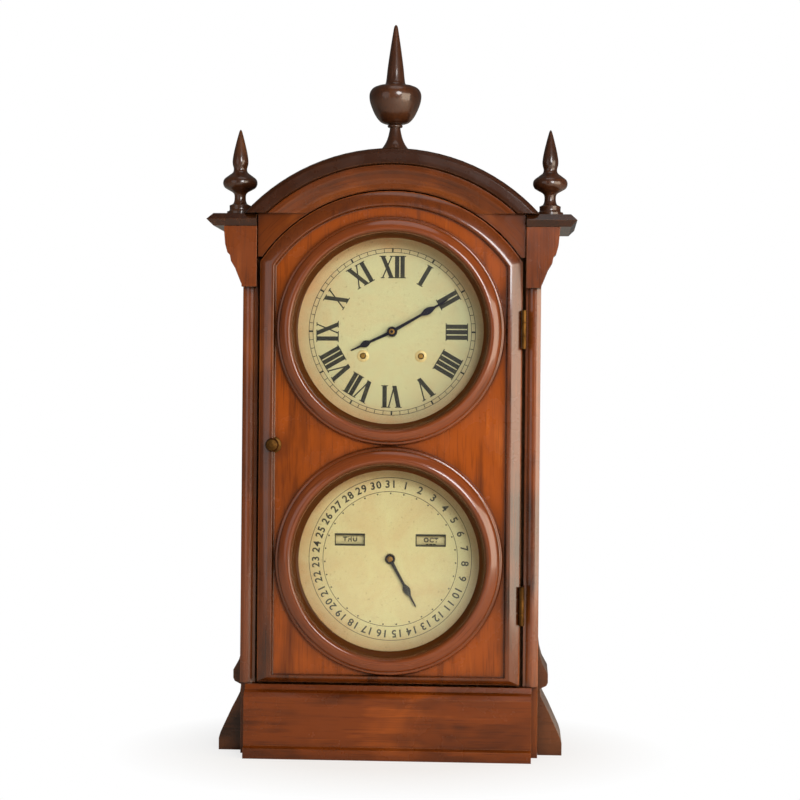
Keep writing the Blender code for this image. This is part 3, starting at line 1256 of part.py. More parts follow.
def main():
    clear_scene()
    wood = material("reddish_veneer", (0.24, 0.075, 0.022), 0.32)
    dark = material("dark_moulding", (0.055, 0.018, 0.008), 0.30)
    board = material("plain_board", (0.19, 0.10, 0.045), 0.6)
    dial = material("painted_dial", (0.72, 0.66, 0.42), 0.55)
    glass = material("clear_glass", (0.9, 0.92, 0.9), 0.05, 0.0, 0.2)
    brass = material("lacquered_brass", (0.60, 0.42, 0.16), 0.32, 1.0)
    steel = material("blued_steel", (0.05, 0.055, 0.075), 0.35, 1.0)
    iron = material("black_iron", (0.03, 0.03, 0.03), 0.6, 0.6)
    drum = material("printed_roller", (0.70, 0.64, 0.42), 0.7)
    build_case(wood, dark, board)
    build_hood(wood, dark)
    build_plinth(wood)
    build_finials(dark)
    for name, side in (("left", -1), ("right", 1)):
        build_pilaster("pilaster_" + name, side, wood)
        build_bracket("bracket_" + name, side, wood)
        build_ear("ear_" + name, side, dark)
        build_side_base("side_base_" + name, side, wood)
    build_dials(board, dial)
    door = build_door(wood, dark, glass, brass)
    build_latch(brass, door)
    build_plates(brass, steel)
    build_motion_work(brass, steel)
    build_great_wheel("time", TIME_ARBOR, TIME_PLANE, CENTRE, brass, steel)
    build_great_wheel("strike", STRIKE_ARBOR, STRIKE_PLANE, CENTRE, brass, steel)
    build_train(brass, steel)
    build_escapement(brass, steel)
    build_pendulum(brass, steel)
    build_strike(brass, steel, iron)
    build_calendar_frame(brass, steel)
    build_calendar_work(brass, steel, drum)


main()
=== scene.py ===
"""Looks of the double-dial calendar clock: finishes, fine turned work, dial printing, light and camera.

Lengths are in metres in the frame of the solids. +Z is up and the front faces -Y.
"""

from math import asin, cos, hypot, pi, radians, sin, tau

import bmesh
import bpy
from mathutils import Matrix, Vector


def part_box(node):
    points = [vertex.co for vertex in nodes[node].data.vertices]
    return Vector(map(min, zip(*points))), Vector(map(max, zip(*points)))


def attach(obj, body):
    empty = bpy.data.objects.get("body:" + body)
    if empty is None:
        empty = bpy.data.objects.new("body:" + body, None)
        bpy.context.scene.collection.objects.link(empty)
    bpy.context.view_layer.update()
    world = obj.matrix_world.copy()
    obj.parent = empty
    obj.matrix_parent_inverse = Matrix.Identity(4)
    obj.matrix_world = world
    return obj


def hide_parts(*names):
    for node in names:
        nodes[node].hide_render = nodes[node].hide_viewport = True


# Smoothness of curves, gaps, and the angles in degrees past which an edge stays sharp
TURN_STEPS = 96
FINIAL_STEPS = 48
EYELET_STEPS = 48
LATCH_PLATE_STEPS = 40
COLLET_STEPS = 32
PIN_STEPS = 16
DOT_STEPS = 8
TEXT_STEPS = 3
SPLINE_STEPS = 7
RIM_SPLINE_STEPS = 4
RIM_ARC_STEPS = 64
WELD = 0.000002
SEAT_GAP = 0.00004
BORDER_CREASE = 30
CREASE = 35
TURNED_CREASE = 40
BRASS_CREASE = 50
ROUND_CREASE = 60

# Section of the rings: shares of the width from the inside and of the rise, with corners given twice
RING_PROFILE_SHARES = (
    (0, 0), (0, 0.20), (0, 0.20), (0.07, 0.27), (0.14, 0.40), (0.20, 0.58), (0.24, 0.74), (0.24, 0.74),
    (0.27, 0.75), (0.27, 0.75), (0.30, 0.88), (0.36, 0.97), (0.43, 1), (0.50, 0.985), (0.58, 0.93),
    (0.66, 0.85), (0.74, 0.75), (0.80, 0.65), (0.84, 0.52), (0.85, 0.43), (0.85, 0.43), (0.875, 0.41),
    (0.875, 0.41), (0.93, 0.38), (0.97, 0.28), (0.995, 0.14), (1, 0),
)
# Where the shadow painted on each ring's inner slope is darkest and where it ends: shares of the width from
# the inside
RING_SHADOW_SHARES = (0.216, 0.405)

# Section of the door's border: inset and rise, with corners given twice
RIM_PROFILE = (
    (0.0008, 0), (0.0008, 0.0006), (0.0008, 0.0006), (0.0020, 0.0014), (0.0045, 0.0027),
    (0.0072, 0.0038), (0.0100, 0.0047), (0.0120, 0.0050), (0.0132, 0.0047), (0.0138, 0.0038),
    (0.0141, 0.0022), (0.0141, 0.0022), (0.0144, 0.0008), (0.0152, 0.0004), (0.0152, 0),
)
RIM_FOOT_SHARE = 0.5

# Outlines of the finials: shares of the radius and of the height, with corners given twice
CENTRE_FINIAL_SHARES = (
    (0.82, 0), (0.82, 0.030), (0.82, 0.030), (0.72, 0.045), (0.55, 0.072), (0.40, 0.11), (0.30, 0.15),
    (0.23, 0.20), (0.20, 0.236), (0.20, 0.236), (0.28, 0.240), (0.28, 0.254), (0.22, 0.260), (0.22, 0.260),
    (0.42, 0.266), (0.58, 0.282), (0.74, 0.320), (0.87, 0.370), (0.97, 0.425), (1, 0.468), (0.965, 0.502),
    (0.85, 0.530), (0.66, 0.546), (0.66, 0.546), (0.50, 0.550), (0.39, 0.562), (0.35, 0.60), (0.30, 0.69),
    (0.20, 0.83), (0.12, 0.93), (0.07, 0.985), (0.02, 1),
)
SIDE_FINIAL_SHARES = (
    (0.76, 0), (0.76, 0.06), (0.76, 0.06), (0.62, 0.075), (0.62, 0.13), (0.62, 0.13), (0.42, 0.15),
    (0.34, 0.19), (0.34, 0.25), (0.44, 0.28), (0.66, 0.305), (0.90, 0.335), (1, 0.375), (1, 0.40),
    (0.92, 0.435), (0.66, 0.475), (0.44, 0.51), (0.39, 0.55), (0.45, 0.60), (0.46, 0.65), (0.39, 0.74),
    (0.26, 0.85), (0.14, 0.94), (0.07, 0.985), (0.02, 1),
)

# Screen colours of the woods: dark, middle, light and rubbed
DOOR_RED = ((64, 26, 3), (151, 71, 12), (197, 103, 28), (214, 148, 92))
ARCH_RED = ((40, 16, 2), (99, 45, 6), (134, 68, 17), (176, 116, 76))
RING_RED = ((34, 14, 2), (122, 58, 20), (164, 90, 38), (206, 150, 104))
SIDE_RED = ((50, 20, 3), (118, 56, 16), (156, 82, 30), (200, 144, 100))
# The plinth's red is darker than the door's: painted shade for the light falling off toward the bottom
PLINTH_RED_SHADED = ((46, 18, 2), (112, 50, 7), (152, 74, 18), (184, 124, 76))
FINIAL_BROWN = ((34, 16, 6), (70, 37, 16), (102, 60, 30), (170, 128, 96))
MOULDING_BROWN = ((24, 10, 2), (54, 25, 7), (80, 42, 15), (150, 106, 74))
BASE_BROWN = ((48, 24, 9), (100, 56, 27), (134, 84, 46), (190, 142, 102))
# Colour of the shadow painted on each ring's inner slope, next to the dial
RING_SHADOW = (62, 34, 8)

# Varnished wood, with noise per metre across the grain, in depth and along it
WEAR_SCALE = (15, 15, 7.5)
GRAIN_SCALE = (150, 150, 5)
STREAK_SCALE = (38, 38, 2.6)
FIGURE_SCALE = (11, 11, 7)
PORE_SCALE = (900, 900, 30)
BLOTCH_SCALE = (17, 17, 9)
HAZE_SCALE = (26, 26, 26)
GRAIN_SHARE = 0.34
PORE_STRENGTH = 0.35
BLOTCH_STRENGTH = 0.46
# Darkening towards the dark colour within this reach of a hollow, found by occlusion: dirt and painted shade
DIRT_AND_SHADE_REACH = 0.014
DIRT_AND_SHADE_STRENGTH = 0.75
RING_SHADOW_STRENGTH = 0.86
RING_SHADOW_SHINE = 0.10
VARNISH_SHINE = 0.30
VARNISH_ROUGHNESS = 0.09
GLOSS_SPREAD = (0.8, 1.35)
EDGE_RADIUS = 0.0008
METAL_EDGE_RADIUS = 0.0003
EDGE_SAMPLES = 4
# Occlusion samples for the dirt and painted shade in hollows
DIRT_AND_SHADE_SAMPLES = 6

# Other finishes, with noise per metre
BOARD_GRAIN_SCALE = (110, 110, 3)
BOARD_STAIN_SCALE = (9, 9, 9)
PAINT_CLOUD_SCALE = (22, 22, 22)
PAINT_SPECK_SCALE = (480, 480, 480)
PAINT_CRAZE_SCALE = 190.0
INK_SCALE = (130, 130, 130)
TOOL_MARK_SCALE = (240, 240, 240)
TARNISH_SCALE = (60, 60, 60)
GLASS_WAVE_SCALE = (14, 14, 22)
GLASS_DUST_SCALE = (90, 90, 90)
PAPER_SCALE = (70, 70, 70)
DIAL_EDGE_START_SHARE = 0.74
METAL_DULL_SHARE = 1.7
TOOL_MARK_STRENGTH = 0.08
GLASS_MIRROR = 0.045
GLASS_SLANT_MIRROR = 0.6

# Printing on the time dial
PRINT_RISE = 0.00012
HOURS = ("XII", "I", "II", "III", "IIII", "V", "VI", "VII", "VIII", "IX", "X", "XI")
HOUR_RADIUS_SHARE = 0.648
HOUR_HEIGHT_SHARE = 0.215
STROKE_THICK = 0.0041
STROKE_THIN = 0.0013
STROKE_LEVELS = 3
SERIF_HEIGHT = 0.0009
SERIF_REACH = 0.0012
LETTER_GAP = 0.0011
LETTER_WIDTHS = {"I": 0.0041, "V": 0.0122, "X": 0.0126}
TRACK_OUTER_SHARE = 0.835
TRACK_INNER_SHARE = 0.795
TRACK_LINE = 0.0005
MINUTE_TICK = 0.0006
HOUR_TICK = 0.0016
EYELET_WIDTH = 0.0012
EYELET_HOLE_SHARE = 1.35
EYELET_RISE = 0.0008

# Printing on the calendar dial and its rollers
DATES = 31
DATE_RADIUS_SHARE = 0.745
DATE_TEXT_SIZE = 0.0098
DATE_TEXT_WEIGHT = 0.00022
DATE_TRACK_OUTER_SHARE = 0.815
DATE_TRACK_INNER_SHARE = 0.675
DATE_DOT_RADIUS = 0.0008
DATE_DOT_INSET = 0.00176
CENTRE_HOLE_LIMIT = 0.0098
WINDOW_MARGIN = 0.0009
TEXT_SPACING = 1.2
ROLLER_TEXT_SHARE = 0.98
ROLLER_TEXT_LIMIT = 0.0060
ROLLER_TEXT_WEIGHT = 0.00030
WEEKDAYS = ("SUN", "MON", "TUE", "WED", "THU", "FRI", "SAT")
MONTHS = ("JAN", "FEB", "MAR", "APR", "MAY", "JUN", "JUL", "AUG", "SEP", "OCT", "NOV", "DEC")
WEEKDAY_SHOWN = 4
MONTH_SHOWN = 9

# Small fittings
LATCH_PLATE_RADIUS = 0.0078
LATCH_PLATE_RISE = 0.0007
LATCH_PLATE_HOLE_SHARE = 0.42
LATCH_PLATE_FACE_SHARE = 0.9
PUTTY_WIDTH = 0.0042
PIN_RADIUS = 0.0013
PIN_RISE = 0.0007
PIN_INSET = 0.0028
PIN_TURNS = (45, 135, 225, 315)
PIN_HEAD_SHARES = (0, 0.5, 0.85)
COLLET_RADIUS = 0.0027
COLLET_LENGTH = 0.0014
COLLET_SHOULDER_SHARE = 0.6
COLLET_FACE_SHARE = 0.8

# Finish of each solid that is shown as it is
DRESSED = {
    "door": ("door_frame",),
    "flank": ("side_board_left", "side_board_right", "bottom_board"),
    "side": ("pilaster_left", "pilaster_right", "bracket_left", "bracket_right"),
    "plinth": ("front_plinth",),
    "arch": ("arch_fascia",),
    "dark_arch": ("hood_moulding", "roof_board"),
    "dark": ("ear_left", "ear_right"),
    "base": ("side_base_left", "side_base_right"),
    "board": ("dial_board", "backboard"),
    "time_dial": ("time_dial",),
    "calendar_dial": ("calendar_dial",),
    "glass": ("glass_upper", "glass_lower"),
    "paper": ("weekday_roller", "month_roller"),
    "brass": (
        "front_plate", "back_plate", "centre_wheel", "minute_wheel", "hour_wheel", "third_wheel",
        "escape_wheel", "time_great_wheel", "strike_great_wheel", "count_wheel", "calendar_plate",
        "date_wheel", "year_cam", "pendulum_bob",
    ),
    "aged": ("door_latch",),
    "steel": (
        "minute_hand", "hour_hand", "date_hand", "centre_arbor", "verge", "pendulum_rod", "hammer",
        "calendar_lever", "time_mainspring", "strike_mainspring", "gong_coil",
    ),
    "iron": ("gong_base",),
}
HINGE_PREFIX = "hinge_"
RINGS = ("ring_upper", "ring_lower")

# Camera
DISTANCE = 1.988
LENS = 95.2
SENSOR = 36
TURN = 3.3
ROLL = 0.5
AIM_HEIGHT = 0.3372
AIM_SHIFT = 0.0094

# Light and floor
KEY_SIZE = 0.85
KEY_POWER = 27
KEY_PLACE = (0.74, -2.14, 1.06)
FILL_SIZE = 1.6
FILL_POWER = 5.2
FILL_PLACE = (-1.6, -2.0, 0.7)
SIDE_WIDTH = 1.3
SIDE_HEIGHT = 1.0
SIDE_POWER = 22
SIDE_TINT = (1.0, 0.84, 0.66)
SIDE_PLACE = (1.36, -1.10, 0.45)
TOP_SIZE = 1.0
TOP_POWER = 2.5
TOP_PLACE = (0.1, -0.4, 1.9)
SKY_COLOUR = (248, 246, 242)
WORLD_LEVEL = 0.20
MIRROR_LEVEL = 0.10
FLOOR_HALF = 30
FLOOR_COLOUR = (250, 240, 226)
FLOOR_FADE = (0.12, 0.27)
FLOOR_SHARE = 0.30
FLOOR_ROUGHNESS = 0.85
BACKDROP = (255, 255, 255)

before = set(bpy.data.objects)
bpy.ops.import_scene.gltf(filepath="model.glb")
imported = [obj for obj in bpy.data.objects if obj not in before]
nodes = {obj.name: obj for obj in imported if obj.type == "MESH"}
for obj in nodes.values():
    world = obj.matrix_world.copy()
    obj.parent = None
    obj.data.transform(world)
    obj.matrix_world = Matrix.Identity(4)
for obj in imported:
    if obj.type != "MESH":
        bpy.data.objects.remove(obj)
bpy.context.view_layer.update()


def linear(value):
    """One channel of a screen colour, from 0 to 255, as light."""
    share = value / 255
    return share / 12.92 if share <= 0.04045 else ((share + 0.055) / 1.055) ** 2.4


def tone(red, green, blue):
    """A screen colour as light, opaque."""
    return linear(red), linear(green), linear(blue), 1


class Finish:
    """A material under construction, with short calls to add and join its nodes."""

    def __init__(self, name):
        self.made = bpy.data.materials.new(name)
        self.made.use_nodes = True
        self.tree = self.made.node_tree
        self.shader = self.tree.nodes["Principled BSDF"]

    def add(self, kind, settings=None, **inputs):
        """A new node with its settings and the values or sockets of its inputs."""
        node = self.tree.nodes.new(kind)
        for key, value in (settings or {}).items():
            setattr(node, key, value)
        for key, value in inputs.items():
            self.feed(node.inputs[key], value)
        return node

    def feed(self, socket, value):
        """Joins an input to an output, or gives it a plain value."""
        if isinstance(value, bpy.types.NodeSocket):
            self.tree.links.new(value, socket)
        else:
            socket.default_value = value

    def set(self, name, value):
        self.feed(self.shader.inputs[name], value)

    def math(self, operation, *values, clamp=False):
        node = self.tree.nodes.new("ShaderNodeMath")
        node.operation = operation
        node.use_clamp = clamp
        for socket, value in zip(node.inputs, values):
            self.feed(socket, value)
        return node.outputs[0]

    def times(self, first, second):
        return self.math("MULTIPLY", first, second)

    def distance(self, first, second):
        """The length of a line whose two sides are given."""
        squares = [self.math("POWER", side, 2.0) for side in (first, second)]
        return self.math("SQRT", self.math("ADD", *squares))

    def mix(self, factor, first, second):
        node = self.tree.nodes.new("ShaderNodeMix")
        node.data_type = "RGBA"
        self.feed(node.inputs[0], factor)
        self.feed(node.inputs[6], first)
        self.feed(node.inputs[7], second)
        return node.outputs[2]

    def ramp(self, factor, stops):
        node = self.tree.nodes.new("ShaderNodeValToRGB")
        bar = node.color_ramp
        while len(bar.elements) < len(stops):
            bar.elements.new(1)
        for element, (place, shade) in zip(bar.elements, stops):
            element.position = place
            element.color = shade
        self.feed(node.inputs[0], factor)
        return node.outputs[0]

    def span(self, value, source, target=(0.0, 1.0)):
        """The value carried over from one range to another and held at its ends."""
        node = self.tree.nodes.new("ShaderNodeMapRange")
        for socket, item in zip(node.inputs, (value, *source, *target)):
            self.feed(socket, item)
        return node.outputs[0]

    def noise(self, place, scale, detail, roughness=0.55, distortion=0.0):
        """A cloudy value with a scale of its own along each axis."""
        scaled = self.add("ShaderNodeMapping", {"vector_type": "POINT"}, Vector=place, Scale=scale)
        inputs = {"Scale": 1.0, "Detail": detail, "Roughness": roughness, "Distortion": distortion}
        return self.add("ShaderNodeTexNoise", Vector=scaled.outputs[0], **inputs).outputs[0]

    def place(self):
        return self.add("ShaderNodeTexCoord").outputs["Object"]

    def axes(self, vector):
        return self.add("ShaderNodeSeparateXYZ", Vector=vector).outputs

    def bump(self, height, strength, distance, normal=None):
        inputs = {"Height": height, "Strength": strength, "Distance": distance}
        if normal is not None:
            inputs["Normal"] = normal
        return self.add("ShaderNodeBump", **inputs).outputs[0]

    def rounded(self, radius):
        """The normal as if each edge were rounded."""
        return self.add("ShaderNodeBevel", {"samples": EDGE_SAMPLES}, Radius=radius).outputs[0]

    def edges(self, radius):
        """About 1 on an edge and 0 on a flat face."""
        geometry = self.add("ShaderNodeNewGeometry").outputs["Normal"]
        meeting = self.add("ShaderNodeVectorMath", {"operation": "DOT_PRODUCT"})
        self.feed(meeting.inputs[0], geometry)
        self.feed(meeting.inputs[1], self.rounded(radius))
        return self.span(meeting.outputs["Value"], (0.98, 0.78))


def grain_place(kit, run, centre):
    """Coordinates whose third axis runs with the grain: along Z, along X, or round a centre."""
    x, y, z = kit.axes(kit.place())
    if run == "upright":
        sources = (x, y, z)
    elif run == "level":
        sources = (z, y, x)
    else:
        away = kit.math("SUBTRACT", x, centre[0])
        rise = kit.math("SUBTRACT", z, centre[1])
        reach = kit.distance(away, rise)
        turn = kit.math("ARCTAN2", kit.math("ABSOLUTE", away), rise)
        sources = (reach, y, kit.times(turn, reach))
    join = kit.tree.nodes.new("ShaderNodeCombineXYZ")
    for socket, source in zip(join.inputs, sources):
        kit.feed(socket, source)
    return join.outputs[0]


def wood(name, shades, run="upright", centre=(0, 0), gloss=0.24, wear=0.5, figure=0.8, coat=0.15, inner=None):
    """A varnished wood: long grain, a slow figure, pores, worn edges, dirt and painted shade in the low
    places.

    Inner gives two distances from the centre: a painted shadow is darkest within the first, and the wood
    has its own colour past the second.
    """
    kit = Finish(name)
    dark, middle, light, rubbed = (tone(*shade) for shade in shades)
    place = grain_place(kit, run, centre)
    grain = kit.noise(place, GRAIN_SCALE, detail=6.0, roughness=0.62, distortion=1.2)
    streak = kit.noise(place, STREAK_SCALE, detail=3.0, roughness=0.5, distortion=0.8)
    cloud = kit.noise(place, FIGURE_SCALE, detail=3.0, roughness=0.6, distortion=0.6)
    blend = kit.math("ADD", kit.times(grain, GRAIN_SHARE), kit.times(streak, 1 - GRAIN_SHARE))
    blend = kit.math("ADD", blend, kit.times(kit.math("SUBTRACT", cloud, 0.5), figure))
    shade = kit.ramp(blend, ((0.28, dark), (0.47, middle), (0.60, middle), (0.80, light)))
    pores = kit.span(kit.noise(place, PORE_SCALE, detail=2.0, roughness=0.5), (0.34, 0.44), (1.0, 0.0))
    shade = kit.mix(kit.times(pores, PORE_STRENGTH), shade, dark)
    blotch = kit.noise(place, BLOTCH_SCALE, detail=3.0, distortion=1.0)
    shade = kit.mix(kit.span(blotch, (0.50, 0.70), (0.0, figure * BLOTCH_STRENGTH)), shade, dark)
    # Dirt and painted shade: darker towards the dark colour in hollows and close to other parts
    hollow = kit.add("ShaderNodeAmbientOcclusion", {"samples": DIRT_AND_SHADE_SAMPLES}, Distance=DIRT_AND_SHADE_REACH)
    dirt_and_shade = kit.span(hollow.outputs["AO"], (0.35, 0.95), (DIRT_AND_SHADE_STRENGTH, 0.0))
    shade = kit.mix(dirt_and_shade, shade, dark)
    shine = VARNISH_SHINE
    varnish = coat
    if inner:
        # A shadow painted on a ring's inner slope, with less shine and less varnish towards the dial
        reach = kit.axes(place)[0]
        shade = kit.mix(kit.span(reach, inner, (RING_SHADOW_STRENGTH, 0.0)), shade, tone(*RING_SHADOW))
        shine = kit.span(reach, inner, (RING_SHADOW_SHINE, VARNISH_SHINE))
        varnish = kit.span(reach, inner, (0.0, coat))
    bend = kit.noise(place, WEAR_SCALE, detail=2.0)
    worn = kit.times(kit.edges(EDGE_RADIUS), kit.span(bend, (0.38, 0.66), (0.15, 1.0)))
    kit.set("Base Color", kit.mix(kit.times(worn, wear), shade, rubbed))
    haze = kit.noise(place, HAZE_SCALE, detail=4.0, roughness=0.6)
    kit.set("Roughness", kit.span(haze, (0.3, 0.7), [gloss * share for share in GLOSS_SPREAD]))
    height = kit.math("SUBTRACT", kit.times(grain, 0.5), pores)
    kit.set("Normal", kit.bump(height, 0.12, 0.0002, kit.rounded(EDGE_RADIUS)))
    kit.set("Specular IOR Level", shine)
    kit.set("Coat Weight", varnish)
    kit.set("Coat Roughness", VARNISH_ROUGHNESS)
    return kit.made


def dial_paint(node, base, stain):
    """Old oil paint on sheet zinc: clouded, darker to the edge, with specks and a fine craze."""
    kit = Finish(node + "_paint")
    centre = middle_of(node)
    radius = half_width(node)
    place = kit.place()
    x, _, z = kit.axes(place)
    reach = kit.distance(kit.math("SUBTRACT", x, centre[0]), kit.math("SUBTRACT", z, centre[1]))
    rim = kit.span(reach, (radius * DIAL_EDGE_START_SHARE, radius), (0.0, 0.85))
    cloud = kit.noise(place, PAINT_CLOUD_SCALE, detail=5.0, roughness=0.62, distortion=0.6)
    specks = kit.span(kit.noise(place, PAINT_SPECK_SCALE, detail=2.0, roughness=0.5), (0.66, 0.74))
    craze = kit.add(
        "ShaderNodeTexVoronoi", {"feature": "DISTANCE_TO_EDGE"}, Vector=place, Scale=PAINT_CRAZE_SCALE
    )
    craze = kit.span(craze.outputs[0], (0.0, 0.035), (1.0, 0.0))
    factor = kit.math("ADD", kit.span(cloud, (0.40, 0.72), (0.0, 0.42)), rim, clamp=True)
    shade = kit.mix(factor, tone(*base), tone(*stain))
    shade = kit.mix(kit.times(specks, 0.35), shade, tone(120, 92, 48))
    shade = kit.mix(kit.times(craze, 0.10), shade, tone(96, 78, 46))
    kit.set("Base Color", shade)
    kit.set("Roughness", kit.span(cloud, (0.3, 0.7), (0.42, 0.62)))
    kit.set("Normal", kit.bump(kit.math("SUBTRACT", cloud, kit.times(craze, 0.3)), 0.15, 0.0004))
    return kit.made


def ink(name, shade, worn_shade):
    """Printed paint, thin in places."""
    kit = Finish(name)
    thin = kit.noise(kit.place(), INK_SCALE, detail=4.0, roughness=0.6)
    patch = kit.span(thin, (0.50, 0.70), (0.0, 0.45))
    kit.set("Base Color", kit.mix(patch, tone(*shade), tone(*worn_shade)))
    kit.set("Roughness", kit.span(patch, (0.0, 0.45), (0.45, 0.6)))
    return kit.made


def metal(name, shade, tarnish, rough, spread, shine=1.0):
    """A worked metal with tarnish, fine tool marks and softened edges."""
    kit = Finish(name)
    place = kit.place()
    marks = kit.noise(place, TOOL_MARK_SCALE, detail=3.0, roughness=0.6)
    cloud = kit.noise(place, TARNISH_SCALE, detail=4.0, roughness=0.6, distortion=0.4)
    dulled = kit.span(cloud, (0.42, 0.72), (0.0, spread))
    kit.set("Base Color", kit.mix(dulled, tone(*shade), tone(*tarnish)))
    kit.set("Metallic", shine)
    matt = kit.span(cloud, (0.3, 0.7), (rough, rough * METAL_DULL_SHARE))
    kit.set("Roughness", kit.math("ADD", matt, kit.times(marks, TOOL_MARK_STRENGTH)))
    kit.set("Normal", kit.bump(marks, 0.10, 0.0002, kit.rounded(METAL_EDGE_RADIUS)))
    return kit.made


def board_wood(name):
    """Unvarnished softwood for the pieces behind the dials."""
    kit = Finish(name)
    place = grain_place(kit, "upright", (0, 0))
    grain = kit.noise(place, BOARD_GRAIN_SCALE, detail=5.0, roughness=0.6, distortion=1.0)
    stain = kit.noise(place, BOARD_STAIN_SCALE, detail=4.0, roughness=0.6)
    stops = ((0.3, tone(92, 58, 32)), (0.55, tone(128, 86, 48)), (0.75, tone(152, 108, 64)))
    shade = kit.ramp(grain, stops)
    kit.set("Base Color", kit.mix(kit.span(stain, (0.5, 0.75), (0.0, 0.5)), shade, tone(66, 42, 25)))
    kit.set("Roughness", kit.span(grain, (0.3, 0.7), (0.62, 0.8)))
    kit.set("Normal", kit.bump(grain, 0.2, 0.0004))
    return kit.made


def glass(name):
    """Thin old glass: clear, with the faint mirror of its surface, a little waviness and dust."""
    kit = Finish(name)
    place = kit.place()
    wave = kit.noise(place, GLASS_WAVE_SCALE, detail=2.0, roughness=0.5)
    dust = kit.noise(place, GLASS_DUST_SCALE, detail=4.0, roughness=0.6)
    slant = kit.add("ShaderNodeLayerWeight", Blend=0.5).outputs["Facing"]
    mirror = kit.math("ADD", GLASS_MIRROR, kit.times(kit.math("POWER", slant, 4.0), GLASS_SLANT_MIRROR))
    kit.set("Base Color", tone(232, 238, 222))
    kit.set("Metallic", 1.0)
    kit.set("Roughness", kit.span(dust, (0.4, 0.8), (0.05, 0.16)))
    kit.set("Alpha", kit.math("ADD", mirror, kit.span(dust, (0.4, 0.8), (0.0, 0.02)), clamp=True))
    kit.set("Normal", kit.bump(wave, 0.1, 0.002))
    return kit.made


def paper(name, base, stain):
    """Old paper with cloudy stains."""
    kit = Finish(name)
    cloud = kit.noise(kit.place(), PAPER_SCALE, detail=5.0, roughness=0.65)
    kit.set("Base Color", kit.mix(kit.span(cloud, (0.4, 0.75), (0.0, 0.6)), tone(*base), tone(*stain)))
    kit.set("Roughness", kit.span(cloud, (0.3, 0.7), (0.6, 0.8)))
    kit.set("Normal", kit.bump(cloud, 0.1, 0.0002))
    return kit.made


def middle_of(node):
    """The middle of a solid in the plane of the dials."""
    low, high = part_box(node)
    return (low.x + high.x) / 2, (low.z + high.z) / 2


def half_width(node):
    low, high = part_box(node)
    return (high.x - low.x) / 2


def points_of(node):
    return [vertex.co for vertex in nodes[node].data.vertices]


def reach_of(point, centre):
    """How far a point lies from a line along Y."""
    return hypot(point.x - centre[0], point.z - centre[1])


def radii(node):
    """The least and greatest distance of a solid's points from the line along Y through its middle."""
    centre = middle_of(node)
    reaches = [reach_of(point, centre) for point in points_of(node)]
    return min(reaches), max(reaches)


def arbor_radius(node, centre):
    """The radius of an arbor at its front end."""
    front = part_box(node)[0].y
    return max(reach_of(point, centre) for point in points_of(node) if point.y < front + WELD)


def arch_height():
    """How high the centre of the arch lies, from the hood's top, foot and width."""
    low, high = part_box("hood_moulding")
    return (high.z**2 - low.z**2 - high.x**2) / (2 * (high.z - low.z))


def door_front():
    """The depth of the door's flat front, which is level with the glasses."""
    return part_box("glass_upper")[0].y


def held(share):
    """A share kept between 0 and 1."""
    return min(max(share, 0), 1)


def add_to_scene(name, data):
    """A new object in the scene."""
    made = bpy.data.objects.new(name, data)
    bpy.context.scene.collection.objects.link(made)
    return made


def smooth_faces(mesh, crease):
    """Smooth shading, but for edges that turn by more than crease."""
    mesh.shade_smooth()
    mesh.set_sharp_from_angle(angle=radians(crease))


def link(name, bm, surface, body, crease=CREASE, replaced=None):
    """A new piece from a bmesh drawn in the frame, which rides a body of the solids."""
    bmesh.ops.remove_doubles(bm, verts=bm.verts, dist=WELD)
    bmesh.ops.recalc_face_normals(bm, faces=bm.faces)
    mesh = bpy.data.meshes.new(name)
    bm.to_mesh(mesh)
    bm.free()
    smooth_faces(mesh, crease)
    mesh.materials.append(surface)
    made = add_to_scene(name, mesh)
    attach(made, body)
    if replaced:
        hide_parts(replaced)


def spline(points, steps=SPLINE_STEPS):
    """A smooth line through points. A point given twice is a sharp corner."""
    runs = [[points[0]]]
    for before, after in zip(points, points[1:]):
        if before == after:
            runs.append([after])
        else:
            runs[-1].append(after)
    smooth = []
    for run in runs:
        for i in range(len(run) - 1):
            four = [run[max(i - 1, 0)], run[i], run[i + 1], run[min(i + 2, len(run) - 1)]]
            smooth += [between(four, step / steps) for step in range(steps)]
        smooth.append(run[-1])
    return smooth


def between(four, share):
    """A point of the curve between the middle two of four points."""
    made = []
    for a, b, c, d in zip(*four):
        start = (c - a) / 2
        end = (d - b) / 2
        gap = c - b
        square = 3 * gap - 2 * start - end
        cube = start + end - 2 * gap
        made.append(b + start * share + square * share**2 + cube * share**3)
    return made


def circle(bm, centre, radius, place, steps, upright=False):
    """A loop of points about a centre: level at a height if upright, or else at a depth."""
    loop = []
    for step in range(steps):
        u = centre[0] + radius * cos(tau * step / steps)
        v = centre[1] + radius * sin(tau * step / steps)
        loop.append(bm.verts.new((u, v, place) if upright else (u, place, v)))
    return loop


def skin(bm, loops, closed=False):
    """The faces from each loop of points to the next one, and back to the first one if closed."""
    pairs = list(zip(loops, loops[1:]))
    if closed:
        pairs.append((loops[-1], loops[0]))
    for lower, upper in pairs:
        for i in range(len(lower)):
            j = (i + 1) % len(lower)
            bm.faces.new((lower[i], lower[j], upper[j], upper[i]))


def turned(profile, centre, upright=False, ring=False, steps=TURN_STEPS):
    """A bmesh turned about a line through centre, along Z if upright or else along Y.

    A ring closes on itself. Anything else is capped at both ends.
    """
    bm = bmesh.new()
    loops = [circle(bm, centre, radius, place, steps, upright) for radius, place in profile]
    skin(bm, loops, closed=ring)
    if not ring:
        bm.faces.new(loops[0])
        bm.faces.new(loops[-1])
    return bm


def slab(bm, outline, back, front):
    """A flat printed shape with a little thickness, from an outline in the plane of the dials."""
    near = [bm.verts.new((x, front, z)) for x, z in outline]
    far = [bm.verts.new((x, back, z)) for x, z in outline]
    bm.faces.new(near)
    skin(bm, (near, far))
    bm.faces.new(far[::-1])


